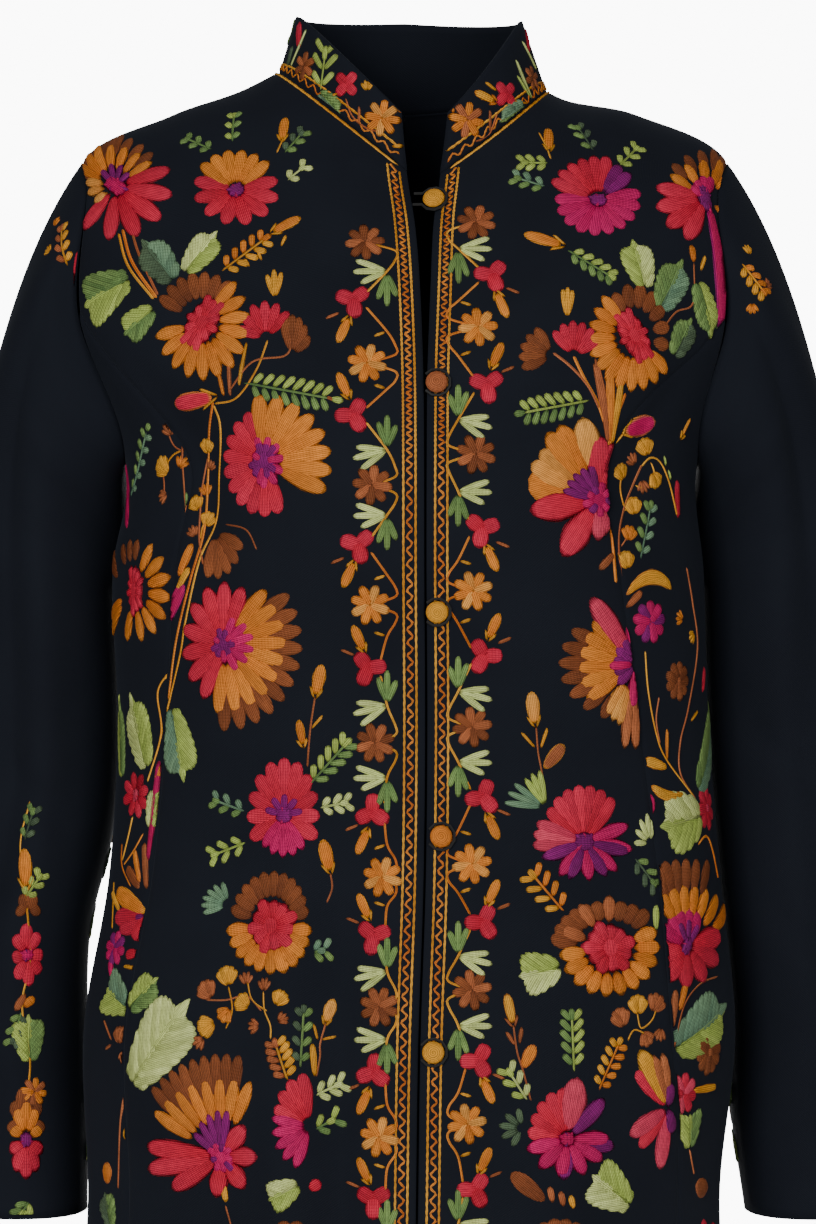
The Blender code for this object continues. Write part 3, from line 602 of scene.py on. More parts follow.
def threadYarn():
    # Rows of chain stitch, from the thread attribute: across and along in millimetres
    material, shader = newMaterial("chain stitch thread")
    nodes, links = material.node_tree.nodes, material.node_tree.links
    calculate = mathsIn(material)
    threadPlace = nodes.new("ShaderNodeAttribute")
    threadPlace.attribute_name = "thread"
    colour = nodes.new("ShaderNodeAttribute")
    colour.attribute_name = "threadColour"
    axes = nodes.new("ShaderNodeSeparateXYZ")
    links.new(threadPlace.outputs["Vector"], axes.inputs["Vector"])
    row = calculate("FRACT", calculate("DIVIDE", axes.outputs["X"], yarn["rowWidth"]))
    edge = calculate("MULTIPLY", calculate("ABSOLUTE", calculate("SUBTRACT", row, 0.5)), 2.0)
    ridge = calculate("SUBTRACT", 1.0, calculate("MULTIPLY", edge, edge))
    along = calculate("ADD", calculate("DIVIDE", axes.outputs["Y"], yarn["length"]),
                      calculate("MULTIPLY", edge, yarn["lean"]))
    loops = calculate("SINE", calculate("MULTIPLY", along, 2 * math.pi))
    height = calculate("MULTIPLY", ridge,
                       calculate("MULTIPLY_ADD", loops, yarn["loopHeight"], yarn["rowHeight"]))
    streak = nodes.new("ShaderNodeVectorMath")
    streak.operation = "MULTIPLY"
    setInputs(streak, {1: (1.0, yarn["fibreRun"], 1.0)})
    fibres = nodes.new("ShaderNodeTexNoise")
    setInputs(fibres, {"Scale": yarn["fibreScale"], "Detail": yarn["fibreDetail"]})
    links.new(threadPlace.outputs["Vector"], streak.inputs[0])
    links.new(streak.outputs["Vector"], fibres.inputs["Vector"])
    # Painted light and shade: each row is lighter on its crown and darker in the groove between
    # rows, and each loop is lighter and darker along it; the fibres vary the tone at random
    shade = calculate("MULTIPLY_ADD", ridge, yarn["rowPaintedLight"], yarn["groovePaintedShade"])
    shade = calculate("MULTIPLY_ADD", loops, yarn["loopPaintedShade"], shade)
    grain = calculate("MULTIPLY_ADD", fibres.outputs["Fac"], yarn["fibreTone"],
                      yarn["fibreDark"])
    shade = calculate("MULTIPLY", shade, grain)
    paint = nodes.new("ShaderNodeVectorMath")
    paint.operation = "SCALE"
    links.new(colour.outputs["Color"], paint.inputs["Vector"])
    links.new(shade, paint.inputs["Scale"])
    bump = nodes.new("ShaderNodeBump")
    setInputs(bump, {"Strength": yarn["bump"], "Distance": yarn["bumpDepth"]})
    links.new(height, bump.inputs["Height"])
    links.new(paint.outputs["Vector"], shader.inputs["Base Color"])
    links.new(bump.outputs["Normal"], shader.inputs["Normal"])
    setInputs(shader, {"Roughness": yarn["roughness"], "Specular IOR Level": yarn["specular"]})
    return material


# Cloths that carry embroidery: their surface, the sign of its normal, the range of b, and the
# turns among which a spot of the view is looked for
def leftArm(a, b):
    return sleevePoint(a, b, 1)


def rightArm(a, b):
    return sleevePoint(a, b, -1)


cloths = {"body": {"point": bodyPoint, "sign": 1, "low": 0, "high": neckUp,
                   "turns": np.arange(-96, 97, 1.0)},
          "leftArm": {"point": leftArm, "sign": 1, "low": 0, "high": cuffDown,
                      "turns": np.arange(-40, 200, 3.0)},
          "rightArm": {"point": rightArm, "sign": -1, "low": 0, "high": cuffDown,
                       "turns": np.arange(-40, 200, 3.0)},
          "collar": {"point": collarPoint, "sign": 1, "low": 0, "high": collarUp,
                     "turns": np.arange(-90, 91, 1.0)}}


def clothSlopes(cloth, a, b):
    point = cloth["point"]
    low, high = np.maximum(b - step, cloth["low"]), np.minimum(b + step, cloth["high"])
    runA = (point(a + step, b) - point(a - step, b)) / (2 * step)
    runB = (point(a, high) - point(a, low)) / (high - low)[:, None]
    normal = unit(np.cross(runA, runB)) * cloth["sign"]
    return runA, runB, normal


def compass(normal):
    # Directions across and up the cloth as seen from outside
    east = unit(np.cross((0, 0, 1), normal))
    return east, np.cross(normal, east)


def walk(cloth, a, b, across, upward):
    # Goes over the cloth by millimetres from each place
    hops = 2
    for _ in range(hops):
        midA, midB = a, b
        for share in (0.5, 1.0):
            runA, runB, normal = clothSlopes(cloth, midA, midB)
            east, north = compass(normal)
            aEast, aNorth = (runA * east).sum(1), (runA * north).sum(1)
            bEast, bNorth = (runB * east).sum(1), (runB * north).sum(1)
            spread = aEast * bNorth - aNorth * bEast
            midA = a + (across * bNorth - upward * bEast) / spread * share / hops
            midB = b + (upward * aEast - across * aNorth) / spread * share / hops
            midB = np.clip(midB, cloth["low"], cloth["high"])
        a, b = midA, midB
    return a, b


# Motifs are laid out on a view of the camera that is 816 points wide, y counted downwards.
# The rest is for finding the place on the cloth that a spot of the view shows
viewPoint = {"size": 0.6, "x": 404.5, "y": 612, "levels": 180, "facing": -0.02, "rounds": 4,
             "flattest": 0.25, "hopTurn": 3, "hopUp": 8}


def sightOf(points):
    # Where the camera sees points, in millimetres on the upright plane through the neck
    away = -camera["y"] / mm / (points[:, 1] - camera["y"] / mm)
    cameraX, cameraZ = camera["x"] / mm, camera["z"] / mm
    return np.stack([cameraX + (points[:, 0] - cameraX) * away,
                     cameraZ + (points[:, 2] - cameraZ) * away], axis=1)


def seenAt(cloth, spots):
    # The places on a cloth that the camera sees at these spots of the view
    spots = np.asarray(spots, float)
    sight = np.stack([(spots[:, 0] - viewPoint["x"]) * viewPoint["size"],
                      camera["z"] / mm + (viewPoint["y"] - spots[:, 1]) * viewPoint["size"]], axis=1)
    if "seen" not in cloth:
        alongs = np.linspace(cloth["low"], cloth["high"], viewPoint["levels"])
        a, b = (values.ravel() for values in np.meshgrid(cloth["turns"], alongs))
        facing = clothSlopes(cloth, a, b)[2][:, 1] < viewPoint["facing"]
        cloth["seen"] = (a[facing], b[facing], sightOf(cloth["point"](a, b)[facing]))
    allA, allB, seen = cloth["seen"]
    nearest = [int(np.argmin(((seen - target) ** 2).sum(1))) for target in sight]
    a, b = allA[nearest], allB[nearest]
    flattest, hopTurn, hopUp = viewPoint["flattest"], viewPoint["hopTurn"], viewPoint["hopUp"]
    for _ in range(viewPoint["rounds"]):
        low, high = np.maximum(b - step, cloth["low"]), np.minimum(b + step, cloth["high"])
        slopeA = sightOf(cloth["point"](a + step, b)) - sightOf(cloth["point"](a - step, b))
        slopeB = sightOf(cloth["point"](a, high)) - sightOf(cloth["point"](a, low))
        slopeA, slopeB = slopeA / (2 * step), slopeB / (high - low)[:, None]
        gap = sight - sightOf(cloth["point"](a, b))
        spread = slopeA[:, 0] * slopeB[:, 1] - slopeA[:, 1] * slopeB[:, 0]
        spread = np.where(np.abs(spread) < flattest, flattest * np.sign(spread + 1e-9), spread)
        goA = (gap[:, 0] * slopeB[:, 1] - gap[:, 1] * slopeB[:, 0]) / spread
        goB = (gap[:, 1] * slopeA[:, 0] - gap[:, 0] * slopeA[:, 1]) / spread
        a = a + np.clip(goA, -hopTurn, hopTurn)
        b = np.clip(b + np.clip(goB, -hopUp, hopUp), cloth["low"], cloth["high"])
    return a, b


# Sizes of the stitching in millimetres. Petals narrower than finePetal have fewer columns. A
# petal is broadest at the share broadAt of its length, and beyond is what follows of it
# rim darkens a petal's edge below the crown rimUpTo when it has no edging thread: painted shade of
# the gaps between petals
stitch = {"dome": 0.8, "root": -0.5, "shoulder": 0.62, "layer": 0.3, "jitter": 0.16,
          "finePetal": 4.5, "rowStep": 3.0, "mostRows": 11, "shortest": 0.8, "stoutest": 1.6,
          "broadAt": 0.55, "beyond": 0.45, "rim": 0.42, "rimUpTo": 0.1, "mix": 0.4, "fade": 0.6,
          "patterns": 50, "seed": 7, "wide": 1.32, "fanWide": 1.55, "tip": 1.7, "slim": 8,
          "seamGap": 0.35, "dotGap": 3.2, "toneRun": 17, "batch": 2500}
chance = np.random.default_rng(stitch["seed"])


def newHoop(cloth, about=None):
    # Threadwork for one panel. With about, motifs lie in millimetres round that place instead
    return {"cloth": cloth, "about": about, "at": (0, 0, 0), "done": [], **newWork()}


def newWork():
    work = bmesh.new()
    return {"work": work, "anchor": work.verts.layers.float_vector.new("anchor"),
            "thread": work.verts.layers.float_vector.new("thread"),
            "colour": work.verts.layers.float_color.new("threadColour")}


def putAside(hoop, least=0):
    # Operators are quick on a small mesh, so full batches of stitches wait to be joined
    if len(hoop["work"].verts) > least:
        mesh = bpy.data.meshes.new("stitches")
        hoop["work"].to_mesh(mesh)
        hoop["work"].free()
        hoop["done"].append(mesh)
        hoop.update(newWork())


def laidOut(hoop, spots):
    # Spots of the view as millimetres on the cloth round the first one, or round about
    if hoop["about"] is not None:
        hoop["at"] = (*hoop["about"], 0)
        return np.asarray(spots, float) * (1, -1)
    a, b = seenAt(hoop["cloth"], spots)
    hoop["at"] = (a[0], b[0], 0)
    east, north = compass(clothSlopes(hoop["cloth"], a[:1], b[:1])[2])
    away = hoop["cloth"]["point"](a, b)
    away = away - away[0]
    return np.stack([(away * east).sum(1), (away * north).sum(1)], axis=1)


def petal(hoop, start, end, width, thread, lift=0.0, point=0.15, taper=0.45, bend=0.0, rim=None):
    # A domed petal of stitches between two places. Its grid is rounded off at both ends
    putAside(hoop, stitch["batch"])
    (x, y), (endX, endY) = start, end
    length = max(math.hypot(endX - x, endY - y), stitch["shortest"])
    c, s = (endX - x) / length, (endY - y) / length
    width = min(width, length * stitch["stoutest"])
    columns, leastRows = (4, 4) if width > stitch["finePetal"] else (2, 3)
    rows = max(leastRows, min(stitch["mostRows"], round(length / stitch["rowStep"])))
    made = bmesh.ops.create_grid(hoop["work"], x_segments=columns, y_segments=rows,
                                 size=1.0)["verts"]
    dark, light = (np.array(tone) for tone in threads[thread])
    change = 1 + (chance.random() * 2 - 1) * stitch["jitter"]
    mix = chance.random() * stitch["mix"]
    number = chance.random() * stitch["patterns"]
    edging = sum(np.array(tone) for tone in threads[rim]) / 2 if rim else None
    straight = max(0.0, 1 - stitch["tip"] * width / length)
    root = min(stitch["root"] + lift, -0.05)
    broadAt, beyond = stitch["broadAt"], stitch["beyond"]
    for vert in made:
        p, q = vert.co.x, vert.co.y
        if abs(p) == 0.5:
            p = math.copysign(stitch["shoulder"], p)
        tip = max(0.0, abs(q) - straight) / (1 - straight + 1e-9)
        reach = min(abs(q), straight) * length / 2
        reach += tip * math.sqrt(1 - p * p / 2) * (1 - straight) * length / 2
        far = length / 2 + math.copysign(reach, q)
        share = far / length
        narrow = taper + (1 - taper) * min(1.0, max(share, 0) / broadAt) ** 0.8
        narrow *= 1 - point * max(0.0, (share - broadAt) / beyond) ** 1.4
        aside = p * math.sqrt(1 - tip * tip / 2) * width / 2 * narrow
        crown = math.sqrt(max(0.0, 1 - p**4)) * math.sqrt(max(0.0, 1 - tip**4))
        sway = aside + bend * 4 * share * (1 - share)
        vert.co = (x + far * c - sway * s, y + far * s + sway * c,
                   root + (stitch["dome"] + lift - root) * crown)
        vert[hoop["anchor"]] = hoop["at"]
        vert[hoop["thread"]] = (abs(aside), far, number)
        shade = (dark + (light - dark) * min(1.0, mix + stitch["fade"] * share)) * change
        # The edge takes its edging thread, or else painted shade: the petal's colour darkened by
        # rim, for the shadow between petals
        if crown < stitch["rimUpTo"]:
            shade = edging if rim else shade * stitch["rim"]
        vert[hoop["colour"]] = (*shade, 1)


def stroke(hoop, startX, startY, endX, endY, width, thread, bend=0.0, rim=None, lift=0.1):
    # One petal from a spot of the view to another
    start, end = laidOut(hoop, [(startX, startY), (endX, endY)])
    petal(hoop, start, end, width, thread, lift, point=0.3, taper=0.5, bend=bend, rim=rim)


def wayOf(angle):
    return np.array([math.cos(math.radians(angle)), math.sin(math.radians(angle))])


def fan(x, y, reachX, reachY, first, last, count):
    # Tips of petals round an ellipse of the view; angles run anticlockwise from the right
    angles = np.radians(np.linspace(first, last, count))
    return [(x + reachX * math.cos(angle), y - reachY * math.sin(angle)) for angle in angles]


def flower(hoop, x, y, middle, *rings):
    # Rings of petals from the outside in, each one as (thread, width, where the petals start
    # as a share of the way out, reach across, reach up, first angle, last angle, count), and
    # the middle as (thread, width, length, angle)
    fans = [fan(x, y, *ring[3:]) for ring in rings]
    tips = [tip for ring in fans for tip in ring]
    places = laidOut(hoop, [(x, y)] + tips)
    centre, ends = places[0], places[1:]
    used = 0
    for layer, (ring, ringTips) in enumerate(zip(rings, fans)):
        thread, width, start = ring[:3]
        full = stitch["fanWide"] if thread == "brown" else stitch["wide"]
        for end in ends[used:used + len(ringTips)]:
            petal(hoop, centre + (end - centre) * start, end, width * full, thread,
                  layer * stitch["layer"], point=0.5 if width < stitch["slim"] else 0.3)
        used += len(ringTips)
    if middle:
        flowerMiddle(hoop, centre, len(rings) * stitch["layer"], *middle)


# Lobes round a flower's middle. Every third one has the other thread
lobe = {"least": 5, "lengthEach": 5, "width": 0.34, "start": 0.1, "reach": 1.05, "longer": 0.2,
        "lift": 0.2, "others": {"crimson": "crimson", "magenta": "purple", "purple": "magenta",
                                "rose": "crimson"}}


def flowerMiddle(hoop, centre, lift, thread, width, length, angle):
    half = wayOf(angle) * length / 2
    petal(hoop, centre - half, centre + half, width, thread, lift, point=0, taper=0.95)
    aside = np.array([-half[1], half[0]]) * width / length
    count = lobe["least"] + round(length / lobe["lengthEach"])
    for i in range(count):
        turn = 2 * math.pi * i / count
        way = half * math.cos(turn) + aside * math.sin(turn)
        reach = lobe["reach"] + lobe["longer"] * (i % 2)
        petal(hoop, centre + way * lobe["start"], centre + way * reach, width * lobe["width"],
              lobe["others"][thread] if i % 3 == 2 else thread, lift + lobe["lift"],
              point=0.2, taper=0.7)


def spine(hoop, x, y, endX, endY, lean):
    # The line a sprig or leaf grows along, and which way the lobes on each side of it lean
    base, tip = laidOut(hoop, [(x, y), (endX, endY)])
    run = tip - base
    length = max(float(np.linalg.norm(run)), 1.0)
    ahead = run / length
    aside = np.array([-ahead[1], ahead[0]])
    c, s = wayOf(lean)
    return base, tip, run, length, aside, {side: ahead * c + aside * s * side for side in (1, -1)}


sprigs = {"ribWidth": 2.2, "ribEnd": 0.9, "first": 0.12, "span": 0.66, "swell": 0.3}


def sprig(hoop, x, y, endX, endY, pairs, size, thread, other=None, lean=42, width=4.8):
    # A sprig: a midrib with lobes in pairs and one at the tip; size is the lobes' length
    base, tip, run, length, _, leans = spine(hoop, x, y, endX, endY, lean)
    petal(hoop, base, base + run * sprigs["ribEnd"], sprigs["ribWidth"], other or thread,
          point=0, taper=0.9)
    for i in range(pairs):
        start = base + run * (sprigs["first"] + sprigs["span"] * i / max(pairs - 1, 1))
        swell = 1.0 + sprigs["swell"] * math.sin(math.pi * (i + 0.6) / (pairs + 0.4))
        for side, way in leans.items():
            petal(hoop, start, start + way * (size * swell), width,
                  thread if side > 0 else other or thread, 0.1, point=0, taper=0.6)
    petal(hoop, tip - run / length * size, tip, width, thread, 0.15, point=0, taper=0.6)


# Teeth and width are what a motif asks for times more and wider; the rest are shares of the
# leaf's length or width
leaves = {"more": 1.3, "wider": 1.22, "toothed": 0.8, "halfAside": 0.2, "halfEnd": 0.98,
          "halfWidth": 0.5, "first": 0.3, "from": 0.22, "swell": 0.73, "span": 0.74,
          "reach": 1.22, "toothWidth": 1.6, "tipFrom": 0.4, "tipWidth": 0.36, "ribFrom": 0.04,
          "ribEnd": 0.8, "ribWidth": 1.5}


def leaf(hoop, x, y, endX, endY, width, thread, other=None, teeth=6, lean=40):
    # A toothed leaf: overlapping lobes on both sides of the midrib and one at the tip
    base, tip, run, length, aside, leans = spine(hoop, x, y, endX, endY, lean)
    teeth, width = round(teeth * leaves["more"]), width * leaves["wider"]
    spacing = length * leaves["toothed"] / teeth
    colours = {1: thread, -1: other or thread}
    for side in (1, -1):
        petal(hoop, base + aside * side * width * leaves["halfAside"],
              base + run * leaves["halfEnd"], width * leaves["halfWidth"], colours[side], -0.1,
              point=0.8, taper=0.7)
    for i in range(teeth):
        share = (i + leaves["first"]) / teeth
        swell = math.sin(math.pi * (leaves["from"] + leaves["swell"] * share)) ** 0.8
        size = width / 2 / math.sin(math.radians(lean)) * swell
        start = base + run * leaves["span"] * share
        for side, way in leans.items():
            petal(hoop, start, start + way * size * leaves["reach"],
                  spacing * leaves["toothWidth"], colours[side], 0.1, point=0.45, taper=0.8)
    petal(hoop, base + run * leaves["tipFrom"], tip, width * leaves["tipWidth"], thread,
          point=0.85, taper=0.8)
    petal(hoop, base + run * leaves["ribFrom"], base + run * leaves["ribEnd"],
          leaves["ribWidth"], other or thread, 0.3, point=0, taper=0.8)


sepals = {"aside": 0.22, "from": 0.12, "end": 0.3, "width": 2.2}


def bud(hoop, x, y, endX, endY, width, thread, cup="gold"):
    # A bud with two sepals at its foot
    base, tip = laidOut(hoop, [(x, y), (endX, endY)])
    run = tip - base
    aside = np.array([-run[1], run[0]]) * sepals["aside"]
    petal(hoop, base, tip, width, thread, 0.2, point=0.35, taper=0.6, rim=cup)
    for side in (1, -1):
        petal(hoop, base - run * sepals["from"], base + run * sepals["end"] + aside * side,
              sepals["width"], cup, 0.3, point=0, taper=0.7)


berries = {"foot": 0.7, "width": 0.75}


def berry(hoop, x, y, radius, thread, angle=90, lobes=4, spread=110):
    # A lobed fruit that opens like a fan at this angle
    centre = laidOut(hoop, [(x, y)])[0]
    foot = centre - wayOf(angle) * radius * berries["foot"]
    for i in range(lobes):
        way = wayOf(angle + spread * (i / (lobes - 1) - 0.5))
        petal(hoop, foot, centre + way * radius, radius * berries["width"], thread,
              0.1 * (i % 2), point=0, taper=0.4)


daisies = {"start": -0.16, "fewStart": -0.3, "few": 4, "middle": 0.22, "middleWidth": 0.44}


def daisy(hoop, x, y, radius, thread, count=8, angle=90, middle=None, width=0.62, other=None):
    centre = laidOut(hoop, [(x, y)])[0]
    start = daisies["start"] if count > daisies["few"] else daisies["fewStart"]
    for i in range(count):
        way = wayOf(angle + 360 * i / count)
        petal(hoop, centre + way * radius * start, centre + way * radius, radius * width,
              other if other and i % 3 == 1 else thread, 0.1 * (i % 3), point=0, taper=0.62)
    if middle:
        size = np.array([radius * daisies["middle"], 0])
        petal(hoop, centre - size, centre + size, radius * daisies["middleWidth"], middle, 0.5,
              point=0, taper=0.9)


def smoothLine(points, gap):
    # A smooth curve through given points, with a dot about every gap
    points = np.asarray(points, float)
    ends = np.concatenate([2 * points[:1] - points[1:2], points, 2 * points[-1:] - points[-2:-1]])
    dots = []
    for p0, p1, p2, p3 in zip(ends, ends[1:], ends[2:], ends[3:]):
        count = max(1, round(float(np.linalg.norm(p2 - p1)) / gap))
        for t in np.arange(count) / count:
            dots.append(0.5 * (2 * p1 + (p2 - p0) * t + (2 * p0 - 5 * p1 + 4 * p2 - p3) * t**2
                               + (3 * p1 - p0 - 3 * p2 + p3) * t**3))
    return np.array(dots + [points[-1]])


def strand(hoop, a, b, width, thread, pulse=0.0, lift=0.0):
    # A line of chain stitch over places on the hoop's cloth
    putAside(hoop, stitch["batch"])
    cloth = hoop["cloth"]
    points = cloth["point"](a, b)
    east, north = compass(clothSlopes(cloth, a, b)[2])
    ahead = np.gradient(points, axis=0)
    heading = np.stack([(ahead * east).sum(1), (ahead * north).sum(1)], axis=1)
    heading = heading / np.linalg.norm(heading, axis=1)[:, None]
    run = np.concatenate([[0], np.cumsum(np.linalg.norm(np.diff(points, axis=0), axis=1))])
    last = len(a) - 1
    made = bmesh.ops.create_grid(hoop["work"], x_segments=3, y_segments=last, size=1.0)["verts"]
    dark, light = (np.array(tone) for tone in threads[thread])
    number = chance.random() * stitch["patterns"]
    edge = {}
    for vert in made:
        column, k = round((vert.co.x + 1) * 1.5), round((vert.co.y + 1) / 2 * last)
        edge[column, k] = vert
        p = (-1, 0, 1, -1)[column]
        half = width / 2 * (0.5 if k in (0, last) else 1 - pulse * (k % 2))
        crown = (1 - abs(p)) * (0 if k in (0, last) else 1 - 0.4 * pulse * (k % 2))
        vert.co = (-heading[k, 1] * p * half, heading[k, 0] * p * half,
                   stitch["root"] + (stitch["dome"] * 0.9 + lift - stitch["root"]) * crown)
        vert[hoop["anchor"]] = (a[k], b[k], 0)
        vert[hoop["thread"]] = (abs(p) * half, run[k], number)
        shade = dark + (light - dark) * (0.5 + 0.5 * math.sin(run[k] / stitch["toneRun"] + number))
        vert[hoop["colour"]] = (*shade, 1)
    bmesh.ops.weld_verts(hoop["work"], targetmap={edge[3, k]: edge[0, k] for k in range(last + 1)})


def stem(hoop, thread, width, *points):
    # A stitched stem through spots of the view, or through millimetres round about
    line = smoothLine(points, stitch["dotGap"])
    if hoop["about"] is None:
        a, b = seenAt(hoop["cloth"], line)
    else:
        startA, startB = (np.full(len(line), float(value)) for value in hoop["about"])
        a, b = walk(hoop["cloth"], startA, startB, line[:, 0], -line[:, 1])
    strand(hoop, a, b, width, thread)


def cutAlong(work, edgeTurn, side, margin):
    # Cuts off what lies beyond a line: edgeTurn gives its turn at each height
    def sway(sign):
        ups = np.array([vert.co.y for vert in work.verts])
        for vert, shift in zip(work.verts, edgeTurn(ups)):
            vert.co.x += shift * sign
    sway(-1)
    bmesh.ops.bisect_plane(work, geom=[*work.verts, *work.edges, *work.faces],
                           plane_co=(-side * margin, 0, 0), plane_no=(side, 0, 0), clear_outer=True)
    sway(1)


def cutLevel(work, level, side):
    bmesh.ops.bisect_plane(work, geom=[*work.verts, *work.edges, *work.faces],
                           plane_co=(0, level, 0), plane_no=(0, side, 0), clear_outer=True)


def layOn(name, hoop, edges, margin=1.0):
    # Lays the threadwork on its cloth, cuts it off at the panel's edges, closes each stitch
    putAside(hoop)
    work, cloth = hoop["work"], hoop["cloth"]
    for mesh in hoop["done"]:
        work.from_mesh(mesh)
        bpy.data.meshes.remove(mesh)
    anchor = work.verts.layers.float_vector["anchor"]
    local = np.array([vert.co for vert in work.verts])
    anchors = np.array([vert[anchor] for vert in work.verts])
    a, b = walk(cloth, anchors[:, 0], anchors[:, 1], local[:, 0], local[:, 1])
    for vert, place in zip(work.verts, np.stack([a, b, local[:, 2]], axis=1)):
        vert.co = place
    for edgeTurn, side in edges:
        cutAlong(work, edgeTurn, side, stitch["seamGap"])
    cutLevel(work, cloth["low"] + margin, -1)
    cutLevel(work, cloth["high"] - margin, 1)
    bmesh.ops.holes_fill(work, edges=work.edges)
    a, b, heights = np.array([vert.co for vert in work.verts]).T
    points = (cloth["point"](a, b) + clothSlopes(cloth, a, b)[2] * heights[:, None]) * mm
    for vert, point in zip(work.verts, points):
        vert.co = point
    bmesh.ops.recalc_face_normals(work, faces=work.faces)
    count = sum(len(face.verts) - 2 for face in work.faces)
    piece = meshObject(name, work, yarnMaterial)
    piece.data.attributes.remove(piece.data.attributes["anchor"])
    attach(piece, "root")
    print("stitched", name, count, "triangles")
    return piece


armSteps = 60  # points round a quarter of the armhole


def edgeOf(side, kind):
    # Turn of a panel's edge at each height, for the princess seam and the armhole lines
    princess = princessLine(side)[:, ::-1]
    angles = {"frontArm": np.linspace(90, 0, armSteps), "sideArm": np.linspace(180, 90, armSteps),
              "backArm": np.linspace(180, 360, 2 * armSteps)}
    line = np.array([[0.0, side * 90.0]]) if kind in ("sideArm", "backArm") else princess
    if kind in angles:
        turns, ups = armholePlace(angles[kind], side)
        line = np.concatenate([line, np.stack([ups, turns], axis=1)])
    line = line[np.argsort(line[:, 0], kind="stable")]

    def turnAt(ups):
        return np.interp(ups, line[:, 0], line[:, 1])
    return turnAt


def stitchAll(hoop, motifs):
    for draw, *values in motifs:
        draw(hoop, *values)


